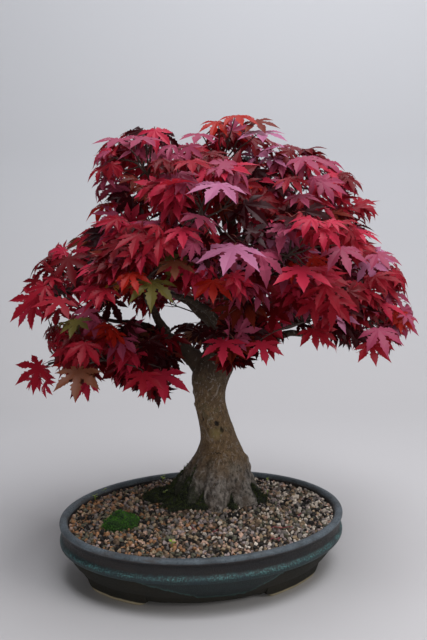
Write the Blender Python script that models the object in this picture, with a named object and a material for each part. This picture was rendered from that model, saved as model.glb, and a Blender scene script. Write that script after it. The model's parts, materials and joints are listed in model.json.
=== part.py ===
"""Maple bonsai in an oval glazed pot.

The pot, the soil in it, a cushion of moss, the trunk, every bough and every mass of
foliage are separate solids.  Metres, +Z up.  X runs along the pot's long axis and the
tree's best side looks along -Y.  Z = 0 is the plane the pot's four feet stand on, and
the whole plant's box is centred over the origin.

The tree has its own axes, turned a little in the pot: side (to the right of its best
side), deep (away from it) and height above the feet.  Every limb and mass is placed in
these by three numbers, and their shapes are worked out from those by the functions.
"""
import math
import random

import bmesh
import bpy
import numpy as np
from mathutils import Vector
from mathutils.bvhtree import BVHTree

# Driving dimensions, in metres -------------------------------------------------------

JOINT_GAP = 0.0003           # clearance left where two solids meet
CUT_GAP = 0.00036            # a neighbour is swollen by this before it cuts

POT_LENGTH = 0.300           # outside, along X
POT_WIDTH = 0.233            # outside, along Y
POT_HEIGHT = 0.060           # lip above the feet
POT_SIDES = 40               # facets round the oval
FLOOR_TOP = 0.011            # inside floor above the feet
FOOT_CLEAR = 0.005           # underside of the floor above the feet
FOOT_HEIGHT = 0.013          # each foot runs this far up into the wall
FOOT_INSET = 0.0215          # foot's outer face, in from the pot's outline
FOOT_THICK = 0.010
FOOT_SPREAD = 44             # degrees from the long axis to a foot's middle
FOOT_TURN = -8               # degrees the ring of feet is turned
FOOT_HALF = 19               # degrees from a foot's middle to its end
DRAIN_RADIUS = 0.008
DRAIN_PLACE = 0.062          # drain holes, either side of the middle

# Outer wall, lip and inner wall: inset from the pot's outline and height.
POT_WALL = (
    (0.0240, FOOT_CLEAR), (0.0190, 0.0125), (0.0110, 0.0225), (0.0062, 0.0335),
    (0.0006, 0.0360), (0.0002, 0.0400), (0.0032, 0.0432), (0.0028, 0.0515),
    (0.0004, 0.0552), (0.0006, 0.0590), (0.0036, POT_HEIGHT), (0.0076, 0.0588),
    (0.0092, 0.0540), (0.0270, FLOOR_TOP),
)

SOIL_EDGE = 0.0545           # soil height at the wall
SOIL_MOUND = 0.0085          # and how much it rises to the trunk
SOIL_RINGS = (0.86, 0.72, 0.58, 0.44)
GRAVEL_HEAP = 0.0024         # the gravel's coarse heaps stand this far above its hollows
MOSS_PLACE = (-0.088, -0.016)
MOSS_SIZE = (0.038, 0.027, 0.0125)

TREE_TURN = math.radians(-13.9)      # the tree's axes, turned in the pot
TRUNK_SIDES = 24
TRUNK_DEEP = 0.031           # the trunk stands behind the pot's middle line
SOIL_LINE = 0.0585           # flat cut under the trunk, seated in the soil

# Trunk and leader: height, shift to the side, radius.
TRUNK = (
    (SOIL_LINE, 0.0150, 0.0395), (0.066, 0.0152, 0.0386), (0.074, 0.0155, 0.0362),
    (0.083, 0.0158, 0.0336), (0.093, 0.0164, 0.0306), (0.104, 0.0174, 0.0274),
    (0.115, 0.0179, 0.0236), (0.127, 0.0166, 0.0195), (0.145, 0.0125, 0.0174),
    (0.163, 0.0080, 0.0162), (0.180, 0.0060, 0.0164), (0.195, 0.0075, 0.0196),
    (0.207, 0.0110, 0.0208), (0.220, 0.0150, 0.0170), (0.235, 0.0205, 0.0130),
    (0.255, 0.0270, 0.0112), (0.280, 0.0330, 0.0096), (0.315, 0.0335, 0.0078),
    (0.345, 0.0310, 0.0058), (0.375, 0.0270, 0.0036),
)

# Surface roots: direction and half width in degrees, and how far each stands out of the
# trunk at the soil.
ROOTS = (
    (178, 17, 0.0220), (150, 14, 0.0150), (-142, 16, 0.0130), (-94, 13, 0.0045),
    (-22, 13, 0.0050), (6, 14, 0.0100), (28, 14, 0.0130), (72, 16, 0.0050),
    (112, 15, 0.0060),
)
ROOT_TOP = 0.120             # height at which the roots have merged into the trunk

LEAF_LENGTH = 0.045          # blade, from stalk to tip
LEAF_STALK = 0.27            # stalk, in blade lengths
LEAF_THICK = 0.030           # thickness at the blade's middle, in blade lengths
LEAF_LOBES = ((0, 1.00), (44, 0.90), (90, 0.60))         # angle in degrees, length
LEAF_NOTCHES = ((21, 0.48), (67, 0.42), (142, 0.18))     # between and behind them
LEAF_DROOP = 0.20            # fall of the lobes' tips below the blade's middle
LEAF_TRIES = 9
LEAF_RISE = 0.25             # share of its twig's climb that a leaf keeps
LEAF_FALL = 0.50             # and how much each hangs
STALK_FACES = 6
TWIG_RADIUS = 0.0013
TWIGS_PER_MASS = 12          # in a mass of the usual half size
USUAL_SIZE = 0.062
LEAVES_PER_TWIG = 3
LEAF_SPOTS = ((0.97, 0.0), (0.92, 1.5), (0.92, -1.5), (0.6, 1.5), (0.6, -1.5))
CLEARANCE = 0.0005           # left between leaves, twigs and limbs
SPACE_POWER = 3              # 2 makes a mass's space an ellipsoid, more a rounder box
CROWN_HEART = (0.015, 0.040, 0.285)                      # leaves face away from here
SEED = 42

# Boughs: what each grows from, where along it (0 to 1), its radius there, how far it
# sags (-) or rises (+) on its way, and the mass it carries, which may be none.
BOUGHS = {
    "left_bough": ("trunk", 0.440, 0.0105, 0.012, "left_middle"),
    "right_bough": ("trunk", 0.455, 0.0090, 0.008, "right_middle"),
    "left_low_bough": ("left_bough", 0.55, 0.0042, -0.003, "left_low"),
    "left_front_bough": ("left_bough", 0.42, 0.0036, 0.003, "left_front_low"),
    "left_inner_bough": ("left_bough", 0.30, 0.0036, 0.001, "left_low_inner"),
    "left_shoulder_bough": ("left_bough", 0.50, 0.0048, -0.004, "left_shoulder"),
    "right_low_bough": ("right_bough", 0.50, 0.0042, -0.002, "right_low"),
    "right_front_bough": ("right_bough", 0.34, 0.0042, 0.006, "front_right_low"),
    "right_shoulder_bough": ("trunk", 0.640, 0.0050, 0.006, "right_shoulder"),
    "top_left_bough": ("trunk", 0.800, 0.0042, 0.004, "top_left"),
    "top_right_bough": ("trunk", 0.850, 0.0040, 0.004, "top_right"),
    "front_low_bough": ("trunk", 0.520, 0.0040, 0.012, "front_low"),
    "front_left_bough": ("trunk", 0.590, 0.0048, 0.006, "front_left"),
    "front_right_bough": ("trunk", 0.680, 0.0046, 0.006, "front_right"),
    "front_middle_bough": ("trunk", 0.636, 0.0038, 0.004, "front_middle"),
    "front_upper_bough": ("trunk", 0.760, 0.0042, 0.006, "front_upper"),
    "back_low_bough": ("trunk", 0.500, 0.0050, 0.010, "back_low"),
    "back_left_bough": ("trunk", 0.570, 0.0052, 0.008, "back_left"),
    "back_right_bough": ("trunk", 0.630, 0.0052, 0.008, "back_right"),
    "back_upper_bough": ("trunk", 0.730, 0.0044, 0.006, "back_upper"),
}
BOUGH_TIP = 0.0021           # radius where a bough enters its mass
BOUGH_SIDES = 6
BOUGH_STEPS = 7

# Masses of foliage: middle (side, deep, height) and half sizes of each one's space.
MASSES = {
    "apex": ((0.016, 0.031, 0.406), (0.072, 0.065, 0.070)),
    "top_left": ((-0.054, 0.035, 0.407), (0.070, 0.065, 0.066)),
    "top_right": ((0.088, 0.028, 0.398), (0.072, 0.065, 0.063)),
    "left_shoulder": ((-0.083, 0.030, 0.345), (0.065, 0.065, 0.060)),
    "right_shoulder": ((0.134, 0.030, 0.348), (0.071, 0.065, 0.062)),
    "left_middle": ((-0.130, 0.020, 0.284), (0.078, 0.065, 0.062)),
    "right_middle": ((0.152, 0.030, 0.287), (0.072, 0.065, 0.060)),
    "left_low": ((-0.140, 0.018, 0.214), (0.072, 0.062, 0.054)),
    "left_front_low": ((-0.096, -0.032, 0.232), (0.062, 0.056, 0.050)),
    "left_low_inner": ((-0.052, 0.004, 0.212), (0.056, 0.052, 0.046)),
    "right_low": ((0.168, 0.018, 0.254), (0.070, 0.064, 0.048)),
    "front_right_low": ((0.096, -0.032, 0.276), (0.066, 0.060, 0.052)),
    "front_low": ((0.034, -0.028, 0.252), (0.056, 0.050, 0.048)),
    "front_upper": ((0.004, -0.052, 0.375), (0.078, 0.062, 0.060)),
    "front_right": ((0.076, -0.056, 0.337), (0.070, 0.062, 0.057)),
    "front_left": ((-0.052, -0.052, 0.315), (0.068, 0.060, 0.057)),
    "front_middle": ((0.018, -0.048, 0.312), (0.054, 0.056, 0.054)),
    "back_upper": ((0.010, 0.122, 0.377), (0.082, 0.068, 0.067)),
    "back_left": ((-0.086, 0.118, 0.303), (0.080, 0.068, 0.065)),
    "back_right": ((0.106, 0.118, 0.302), (0.080, 0.068, 0.065)),
    "back_low": ((0.012, 0.132, 0.246), (0.078, 0.062, 0.052)),
}


# Meshes and materials ----------------------------------------------------------------

def clear_scene():
    """Remove the objects the file opens with."""
    for thing in list(bpy.data.objects):
        bpy.data.objects.remove(thing, do_unlink=True)


def finish(name, colour, roughness):
    """A plain painted, glazed or living surface."""
    material = bpy.data.materials.new(name)
    material.use_nodes = True
    shader = material.node_tree.nodes["Principled BSDF"]
    shader.inputs["Base Color"].default_value = (*colour, 1.0)
    shader.inputs["Roughness"].default_value = roughness
    shader.inputs["Metallic"].default_value = 0.0
    return material


def mesh_of(name, points, faces):
    """A mesh from points and faces, its faces turned outwards."""
    mesh = bpy.data.meshes.new(name)
    mesh.from_pydata([tuple(p) for p in points], [], faces)
    shape = bmesh.new()
    shape.from_mesh(mesh)
    bmesh.ops.recalc_face_normals(shape, faces=shape.faces)
    shape.to_mesh(mesh)
    shape.free()
    return mesh


def add_object(name, mesh, parent, material=None):
    """An object of the model, under its parent empty."""
    thing = bpy.data.objects.new(name, mesh)
    bpy.context.collection.objects.link(thing)
    thing.parent = parent
    if material:
        mesh.materials.clear()
        mesh.materials.append(material)
        mesh.shade_smooth()
        mesh.set_sharp_from_angle(angle=math.radians(38))
    return thing


def add_empty(name, parent, turn=0.0):
    """An empty that carries other objects."""
    empty = bpy.data.objects.new(name, None)
    bpy.context.collection.objects.link(empty)
    empty.parent = parent
    empty.rotation_euler.z = turn
    return empty


def make_cutter(thing):
    """Hide a solid that only shapes others."""
    thing.hide_render = True
    thing.display_type = "WIRE"
    return thing


def boolean(thing, other, operation):
    """Cut or join one object with another, by a modifier that stays on it."""
    modifier = thing.modifiers.new(operation.lower(), "BOOLEAN")
    modifier.operation = operation
    modifier.solver = "EXACT"
    modifier.object = other


def stacked(rings):
    """Points and faces of closed rings joined one to the next, with flat ends."""
    count = len(rings[0])
    points = [point for ring in rings for point in ring]
    faces = []
    for level in range(len(rings) - 1):
        for i in range(count):
            j = (i + 1) % count
            low = level * count
            high = low + count
            faces.append((low + i, low + j, high + j, high + i))
    faces.append(tuple(range(count)))
    faces.append(tuple(range(len(points) - count, len(points))))
    return points, faces


def halved(points, faces):
    """A shape with its warped four-cornered faces all cut in two the same way."""
    halves = []
    for face in faces:
        halves += [face] if len(face) > 4 else [face[:3], (face[0], *face[2:])]
    return points, halves


def oval(inset, height):
    """One ring of the pot's oval plan, set in from its outline."""
    half_x = POT_LENGTH / 2 - inset
    half_y = POT_WIDTH / 2 - inset
    ring = []
    for i in range(POT_SIDES):
        angle = math.tau * i / POT_SIDES
        ring.append(Vector((half_x * math.cos(angle), half_y * math.sin(angle), height)))
    return ring


def swollen(name, points, faces, parent, amount=CUT_GAP):
    """A cutter: a solid grown outwards by the joint's clearance."""
    mesh = mesh_of(name, points, faces)
    normals = [vertex.normal.copy() for vertex in mesh.vertices]
    for vertex, normal in zip(mesh.vertices, normals):
        vertex.co = vertex.co + normal * amount
    return make_cutter(add_object(name, mesh, parent))


# Pot, soil and moss ------------------------------------------------------------------

def foot_shape(middle):
    """A low bracket foot that follows the oval and thins out at both ends."""
    steps = 6
    rings = []
    for i in range(steps + 1):
        along = 2 * i / steps - 1
        angle = math.radians(middle + along * FOOT_HALF)
        lift = FOOT_CLEAR * 0.9 * max(0.0, abs(along) - 0.6) / 0.4
        thick = FOOT_THICK * (1.0 - 0.45 * along ** 2)
        ring = []
        for inset, height in (
            (FOOT_INSET + 0.0022, lift), (FOOT_INSET + thick, lift),
            (FOOT_INSET + thick, FOOT_HEIGHT - 0.005), (FOOT_INSET - 0.0004, FOOT_HEIGHT),
        ):
            half_x = POT_LENGTH / 2 - inset
            half_y = POT_WIDTH / 2 - inset
            ring.append(Vector((half_x * math.cos(angle), half_y * math.sin(angle), height)))
        rings.append(ring)
    return stacked(rings)


def make_pot(stand, glaze):
    """Oval pot: flared lip, raised belt, drawn-in lower wall, four feet, two drains."""
    points, faces = stacked([oval(inset, height) for inset, height in POT_WALL])
    pot = add_object("pot", mesh_of("pot", points, faces), stand, glaze)
    for number, side in enumerate((0, 1, 2, 3)):
        middle = FOOT_TURN + 180 * (side // 2) + FOOT_SPREAD * (1 - 2 * (side % 2))
        foot_points, foot_faces = foot_shape(middle)
        name = f"foot_{number + 1}"
        foot = make_cutter(add_object(name, mesh_of(name, foot_points, foot_faces), stand))
        boolean(pot, foot, "UNION")
    for side in (-1, 1):
        rings = []
        for height in (0.0, FLOOR_TOP + 0.005):
            ring = []
            for i in range(12):
                angle = math.tau * i / 12
                x = side * DRAIN_PLACE + DRAIN_RADIUS * math.cos(angle)
                ring.append(Vector((x, DRAIN_RADIUS * math.sin(angle), height)))
            rings.append(ring)
        name = "drain_left" if side < 0 else "drain_right"
        drain = make_cutter(add_object(name, mesh_of(name, *stacked(rings)), stand))
        boolean(pot, drain, "DIFFERENCE")
    return pot


def soil_height(x, y):
    """Height of the soil's surface: a low mound round the trunk."""
    reach = min(1.0, math.hypot(2 * x / POT_LENGTH, 2 * y / POT_WIDTH) * 1.07)
    return SOIL_EDGE + SOIL_MOUND * (1 - reach ** 2) + 0.0006 * math.sin(70 * x) * math.cos(90 * y)


def soil_shape(lift=0.0):
    """The soil fills the pot to its surface, which the gravel leaves in low heaps."""
    chance = random.Random(SEED)
    floor, brim = POT_WALL[-1], POT_WALL[-2]
    rings = [oval(floor[0] + 2 * JOINT_GAP, floor[1] + JOINT_GAP)]
    inset = brim[0] + 2 * JOINT_GAP
    for level, part in enumerate((1.0, *SOIL_RINGS)):
        ring = oval(inset, 0.0)
        for step, point in enumerate(ring):
            heap = GRAVEL_HEAP * ((step + level) % 2) * chance.uniform(0.5, 1.0) if level else 0.0
            point.x *= part
            point.y *= part
            point.z = soil_height(point.x, point.y) + heap + lift
        rings.append(ring)
    return halved(*stacked(rings))


def make_soil(stand, earth, socket):
    """Soil with the socket that the trunk's foot stands in."""
    points, faces = soil_shape()
    soil = add_object("soil", mesh_of("soil", points, faces), stand, earth)
    boolean(soil, socket, "DIFFERENCE")
    return soil


def make_moss(stand, green):
    """A cushion of moss that lies on the soil."""
    shape = bmesh.new()
    bmesh.ops.create_icosphere(shape, subdivisions=2, radius=1.0)
    mesh = bpy.data.meshes.new("moss_cushion")
    shape.to_mesh(mesh)
    shape.free()
    x, y = MOSS_PLACE
    length, width, height = MOSS_SIZE
    for vertex in mesh.vertices:
        lump = 1.0 + 0.07 * math.sin(9 * vertex.co.x + 4 * vertex.co.y)
        vertex.co.x = x + vertex.co.x * length / 2 * lump
        vertex.co.y = y + vertex.co.y * width / 2 * lump
        vertex.co.z = soil_height(x, y) + vertex.co.z * height * lump
    moss = add_object("moss_cushion", mesh, stand, green)
    points, faces = soil_shape(lift=CUT_GAP)
    bed = make_cutter(add_object("moss_bed", mesh_of("moss_bed", points, faces), stand))
    boolean(moss, bed, "DIFFERENCE")
    return moss


# Trunk and boughs --------------------------------------------------------------------

def girth(angle, height, radius):
    """The trunk's reach in a direction at a height, with its burls and its roots."""
    burl = 0.035 * math.cos(3 * angle + 40 * height) + 0.02 * math.sin(5 * angle - 55 * height)
    low = max(0.0, (ROOT_TOP - height) / (ROOT_TOP - SOIL_LINE)) ** 2
    reach = 0.0
    for middle, half, root in ROOTS:
        away = (math.degrees(angle) - middle + 180) % 360 - 180
        reach += root * math.exp(-(away / half) ** 2)
    return radius * (1.0 + burl) + reach * low


def trunk_shape():
    """Trunk and leader, level rings from the flat cut to the tip."""
    rings = []
    for height, side, radius in TRUNK:
        ring = []
        for i in range(TRUNK_SIDES):
            angle = math.tau * i / TRUNK_SIDES
            reach = girth(angle, height, radius)
            x = side + reach * math.cos(angle)
            y = TRUNK_DEEP + reach * math.sin(angle)
            ring.append(Vector((x, y, height)))
        rings.append(ring)
    return halved(*stacked(rings))


def along_curve(curve, share):
    """Point at a share of the height or number of steps of a limb's centre line."""
    place = share * (len(curve) - 1)
    step = min(int(place), len(curve) - 2)
    return curve[step].lerp(curve[step + 1], place - step)


def trunk_line():
    """Centre line of the trunk, evenly spaced in height."""
    heights = [row[0] for row in TRUNK]
    line = []
    for height in np.linspace(heights[0], heights[-1], 60):
        side = float(np.interp(height, heights, [row[1] for row in TRUNK]))
        line.append(Vector((side, TRUNK_DEEP, float(height))))
    return line


def bent_line(start, end, rise, steps):
    """A smooth limb line from start to end that rises (+) or sags (-) between them."""
    middle = (start + end) / 2 + Vector((0, 0, rise * 2))
    line = []
    for i in range(steps):
        t = i / (steps - 1)
        line.append(start * (1 - t) ** 2 + middle * (2 * t * (1 - t)) + end * t ** 2)
    return line


def tube(line, radii, sides):
    """A closed tapering limb along a line."""
    side = Vector((0, 0, 1)).cross(line[1] - line[0])
    if side.length < 1e-6:
        side = Vector((1, 0, 0))
    rings = []
    for i, point in enumerate(line):
        ahead = line[min(i + 1, len(line) - 1)] - line[max(i - 1, 0)]
        ahead.normalize()
        side = (side - ahead * side.dot(ahead)).normalized()
        over = ahead.cross(side)
        ring = []
        for k in range(sides):
            angle = math.tau * k / sides
            ring.append(point + (side * math.cos(angle) + over * math.sin(angle)) * radii[i])
        rings.append(ring)
    return stacked(rings)


def entry_point(start, mass):
    """Where a bough that comes from start enters the space of its mass."""
    centre, half = (Vector(values) for values in MASSES[mass])
    way = centre - start
    scaled = Vector((way.x / half.x, way.y / half.y, way.z / half.z))
    return centre - way * min(0.72 / scaled.length, 0.75)


def bough_line(name, lines):
    """Centre line of a bough, from the axis of what it grows from into its mass."""
    parent, share, _, rise, mass = BOUGHS[name]
    start = along_curve(lines[parent], share)
    return bent_line(start, entry_point(start, mass), rise, BOUGH_STEPS)


def bough_radii(name, count):
    """Radii of a bough, tapering from its root to its tip."""
    root = BOUGHS[name][2]
    return [BOUGH_TIP + (root - BOUGH_TIP) * (1 - i / (count - 1)) ** 0.85 for i in range(count)]


# Foliage -----------------------------------------------------------------------------

def leaf_shape(root, ahead, up, length):
    """One palmate leaf with its stalk, as a closed thin solid that droops at its tips.

    root is the stalk's end inside the twig, ahead the midrib's direction and up the
    upper face's normal.
    """
    across = up.cross(ahead)
    outline = []
    for (tip_turn, tip_reach), (notch_turn, notch_reach) in zip(LEAF_LOBES, LEAF_NOTCHES):
        outline.append((tip_turn, tip_reach, -LEAF_DROOP * tip_reach ** 1.5))
        outline.append((notch_turn, notch_reach, -0.03))
    half = [(math.radians(turn), reach, fall) for turn, reach, fall in outline]
    around = half + [(-turn, reach, fall) for turn, reach, fall in reversed(half[1:])]
    base = root + (ahead * LEAF_STALK + up * 0.02) * length

    def place(x, y, z):
        return base + (ahead * x + across * y + up * z) * length

    points = [place(r * math.cos(a), r * math.sin(a), fall) for a, r, fall in around]
    rim = len(points)
    top, under, tail_top, tail_under = rim, rim + 1, rim + 2, rim + 3
    points.append(place(0.08, 0, LEAF_THICK / 2))
    points.append(place(0.08, 0, -LEAF_THICK / 2))
    points.append(root + up * 0.0005)
    points.append(root - up * 0.0005)
    faces = []
    behind = len(half) - 1
    for i in range(rim):
        j = (i + 1) % rim
        if i != behind:
            faces += [(top, i, j), (under, j, i)]
    i, j = behind, behind + 1
    faces += [(top, i, tail_top), (top, tail_top, j)]
    faces += [(under, tail_under, i), (under, j, tail_under)]
    faces += [(i, tail_under, tail_top), (j, tail_top, tail_under)]
    return points, faces


class Company:
    """The limbs, twigs and leaves that stand already, for clearance tests."""

    def __init__(self):
        self.trees = []
        self.lows = []
        self.highs = []

    def add(self, points, faces):
        """Note a shape, and give its number."""
        self.trees.append(BVHTree.FromPolygons(points, faces))
        cloud = np.array(points)
        self.lows.append(cloud.min(axis=0))
        self.highs.append(cloud.max(axis=0))
        return len(self.trees) - 1

    def touches(self, points, faces, apart_from=()):
        """Whether a shape comes within the clearance of any noted one."""
        cloud = np.array(points)
        low = cloud.min(axis=0) - CLEARANCE
        high = cloud.max(axis=0) + CLEARANCE
        near = np.all(np.array(self.lows) < high, axis=1)
        near &= np.all(np.array(self.highs) > low, axis=1)
        found = [int(i) for i in np.nonzero(near)[0] if int(i) not in apart_from]
        if not found:
            return False
        shell = BVHTree.FromPolygons(thickened(points, faces, CLEARANCE), faces)
        return any(shell.overlap(self.trees[i]) for i in found)


def thickened(points, faces, amount):
    """A shape's points moved along their normals, to keep a clearance."""
    normals = [Vector() for _ in points]
    for face in faces:
        a, b, c = (points[i] for i in face[:3])
        normal = (b - a).cross(c - a)
        for i in face:
            normals[i] += normal
    out = []
    for point, normal in zip(points, normals):
        out.append(point + normal.normalized() * amount if normal.length else point.copy())
    return out


def inside(points, centre, half):
    """Whether every point keeps to the rounded space of a mass."""
    for point in points:
        away = point - centre
        if sum(abs(a / h) ** SPACE_POWER for a, h in zip(away, half)) > 1:
            return False
    return True


def sphere_direction(number, count, turn):
    """Directions spread evenly over a sphere by the golden angle."""
    z = 1 - 2 * (number + 0.5) / count
    angle = number * math.pi * (3 - math.sqrt(5)) + turn
    flat = math.sqrt(1 - z * z)
    return Vector((flat * math.cos(angle), flat * math.sin(angle), z))


def wobble(chance, amount):
    """A small random vector."""
    return Vector((chance.gauss(0, 1), chance.gauss(0, 1), chance.gauss(0, 1))) * amount


def try_leaf(root, aim, mass, company, twig, stalks, chance):
    """A leaf that fits at a place on a twig, as a closed shape, or None."""
    centre, half = (Vector(values) for values in MASSES[mass])
    outward = (root - Vector(CROWN_HEART)).normalized()
    facing = Vector((outward.x * 0.5, outward.y * 1.5, outward.z * 0.5)).normalized() * 0.7
    for attempt in range(LEAF_TRIES):
        loose = 0.16 + 0.07 * attempt
        ahead = outward * 0.75 + aim * 0.75
        ahead.z = ahead.z * LEAF_RISE - LEAF_FALL
        ahead = (ahead + wobble(chance, loose)).normalized()
        up = facing + Vector((0, 0, 0.75)) + wobble(chance, 0.14)
        up = (up - ahead * up.dot(ahead)).normalized()
        length = LEAF_LENGTH * chance.uniform(0.86, 1.12) * (1 - 0.02 * attempt)
        points, faces = leaf_shape(root, ahead, up, length)
        if not inside(points, centre, half):
            continue
        blade = faces[:-STALK_FACES]
        stalk = faces[-STALK_FACES:]
        if company.touches(points, blade, (twig,)):
            continue
        if not company.touches(points, stalk, (twig, *stalks)):
            company.add(points, blade)
            stalks.append(company.add(points, stalk))
            return points, faces
    return None


def mass_stem(name, tip, heading):
    """The stem of a mass: it goes on from its bough's tip, a joint's gap away."""
    centre, half = (Vector(values) for values in MASSES[name])
    root = tip + heading * JOINT_GAP
    end = centre + Vector((heading.x * half.x, heading.y * half.y, heading.z * half.z)) * 0.3
    line = [root, root + heading * (end - root).length * 0.3, root.lerp(end, 0.62), end]
    return line, tube(line, [BOUGH_TIP, 0.0020, 0.0017, TWIG_RADIUS], 4)


def grow_twig(foot, tip, mass, stem, company, chance):
    """One twig with its leaves, or nothing where it finds no room."""
    twig = tube([foot, tip], [TWIG_RADIUS, TWIG_RADIUS * 0.8], 3)
    if company.touches(*twig, (stem,)):
        return []
    number = company.add(*twig)
    along = (tip - foot).normalized()
    across = along.cross(Vector((0, 0, 1))).normalized()
    leaves = []
    stalks = []
    for spot, turn in LEAF_SPOTS:
        place = foot.lerp(tip, spot)
        aim = (along + across * turn).normalized()
        leaf = try_leaf(place, aim, mass, company, number, stalks, chance)
        if leaf and len(leaves) < LEAVES_PER_TWIG:
            leaves.append(leaf)
    return [twig, *leaves] if leaves else []


def grow_mass(name, line, stem, heading, company):
    """Twigs and leaves of one mass round its stem, each a closed shape."""
    chance = random.Random(f"{SEED}-{name}")
    centre, half = (Vector(values) for values in MASSES[name])
    size = (half.x * half.y * half.z) ** (1 / 3)
    count = round(TWIGS_PER_MASS * (size / USUAL_SIZE) ** 2)
    shapes = []
    for number in range(count):
        way = sphere_direction(number, count, chance.uniform(0, 0.5))
        if way.dot(heading) < -0.86:
            continue
        foot = line[1].lerp(line[-1], 0.35 + 0.3 * (1 + way.dot(heading)))
        for reach in (0.90, 0.75, 0.60, 0.45, 0.30):
            tip = centre + Vector((way.x * half.x, way.y * half.y, way.z * half.z)) * reach
            grown = []
            if (tip - foot).length > 0.008:
                grown = grow_twig(foot, tip, name, stem, company, chance)
            if grown:
                shapes += grown
                break
    return shapes


def fused(name, shapes):
    """One closed mesh from overlapping closed shapes, by one Boolean on a collection."""
    base = add_object(name, mesh_of(name, *shapes[0]), None)
    group = bpy.data.collections.new(name)
    for number, shape in enumerate(shapes[1:]):
        member = bpy.data.objects.new(f"{name}_{number}", mesh_of(f"{name}_{number}", *shape))
        group.objects.link(member)
    modifier = base.modifiers.new("union", "BOOLEAN")
    modifier.operation = "UNION"
    modifier.operand_type = "COLLECTION"
    modifier.collection = group
    result = None
    for solver in ("EXACT", "MANIFOLD"):
        modifier.solver = solver
        bpy.context.view_layer.update()
        graph = bpy.context.evaluated_depsgraph_get()
        result = bpy.data.meshes.new_from_object(base.evaluated_get(graph))
        if tidy_shell(result):
            break
    for member in list(group.objects):
        bpy.data.objects.remove(member, do_unlink=True)
    bpy.data.collections.remove(group)
    bpy.data.objects.remove(base, do_unlink=True)
    return result


def tidy_shell(mesh):
    """Keep a mesh's largest shell, and say whether it is closed."""
    shape = bmesh.new()
    shape.from_mesh(mesh)
    bmesh.ops.triangulate(shape, faces=shape.faces)
    left = set(shape.verts)
    shells = []
    while left:
        seed = left.pop()
        shell = {seed}
        edge = [seed]
        while edge:
            vertex = edge.pop()
            for link in vertex.link_edges:
                other = link.other_vert(vertex)
                if other not in shell:
                    shell.add(other)
                    edge.append(other)
        left -= shell
        shells.append(shell)
    largest = max(shells, key=len)
    scrap = [vertex for vertex in shape.verts if vertex not in largest]
    bmesh.ops.delete(shape, geom=scrap, context="VERTS")
    closed = all(len(link.link_faces) == 2 for link in shape.edges)
    shape.to_mesh(mesh)
    shape.free()
    return closed


# The whole plant ---------------------------------------------------------------------

def make_limbs(planting, bark):
    """Trunk and boughs, each bough cut clear of what it grows from."""
    trunk = trunk_shape()
    add_object("trunk", mesh_of("trunk", *trunk), planting, bark)
    cutters = {"trunk": swollen("trunk_joint", *trunk, planting)}
    lines = {"trunk": trunk_line()}
    shapes = {"trunk": trunk}
    for name in BOUGHS:
        parent = BOUGHS[name][0]
        lines[name] = bough_line(name, lines)
        shapes[name] = tube(lines[name], bough_radii(name, len(lines[name])), BOUGH_SIDES)
        bough = add_object(name, mesh_of(name, *shapes[name]), planting, bark)
        if parent not in cutters:
            cutters[parent] = swollen(f"{parent}_joint", *shapes[parent], planting)
        boolean(bough, cutters[parent], "DIFFERENCE")
    return lines, shapes, cutters["trunk"]


def make_foliage(planting, leafy, lines, shapes):
    """Every mass of foliage, grown on from the limb that carries it."""
    company = Company()
    for shape in shapes.values():
        company.add(*shape)
    carriers = {row[4]: name for name, row in BOUGHS.items()}
    carriers["apex"] = "trunk"
    stems = {}
    for name in MASSES:
        limb = lines[carriers[name]]
        heading = (limb[-1] - limb[-2]).normalized()
        line, stem = mass_stem(name, limb[-1], heading)
        stems[name] = (line, stem, heading, company.add(*stem))
    for name, (line, stem, heading, number) in stems.items():
        grown = grow_mass(name, line, number, heading, company)
        add_object(name, fused(name, [stem, *grown]), planting, leafy)


def centre_on_origin(stand):
    """Move the plant so that the middle of its whole box is over the origin."""
    bpy.context.view_layer.update()
    graph = bpy.context.evaluated_depsgraph_get()
    corners = []
    for thing in bpy.data.objects:
        if thing.type == "MESH" and not thing.hide_render:
            shown = thing.evaluated_get(graph)
            corners += [thing.matrix_world @ vertex.co for vertex in shown.data.vertices]
    cloud = np.array(corners)
    middle = (cloud.min(axis=0) + cloud.max(axis=0)) / 2
    stand.location = (-float(middle[0]), -float(middle[1]), 0.0)


def make_plant():
    """Build every part of the bonsai under one stand."""
    clear_scene()
    stand = add_empty("stand", None)
    planting = add_empty("planting", stand, TREE_TURN)
    glaze = finish("dark blue glaze", (0.045, 0.060, 0.085), 0.30)
    earth = finish("fine gravel", (0.190, 0.135, 0.105), 0.90)
    green = finish("moss", (0.060, 0.150, 0.020), 0.95)
    bark = finish("grey brown bark", (0.180, 0.130, 0.095), 0.85)
    leafy = finish("crimson leaf", (0.300, 0.015, 0.035), 0.45)
    lines, shapes, socket = make_limbs(planting, bark)
    make_pot(stand, glaze)
    make_soil(stand, earth, socket)
    make_moss(stand, green)
    make_foliage(planting, leafy, lines, shapes)
    centre_on_origin(stand)


make_plant()
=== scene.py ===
"""Maple bonsai in an oval glazed pot: the finished surface of every part.

Metres, +Z up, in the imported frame: X runs along the pot's long axis, the tree's best side
looks along -Y and Z = 0 is the plane that the pot's feet stand on.  The file follows the
plant as it is put together: pot, soil and gravel, trunk and boughs, moss, twigs and
leaves, and last the table that it stands on for its portrait.
"""
import json
import math
import random

import bmesh
import bpy
import numpy as np
from mathutils import Matrix, Vector, noise
from mathutils.bvhtree import BVHTree
from mathutils.geometry import interpolate_bezier

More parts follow.
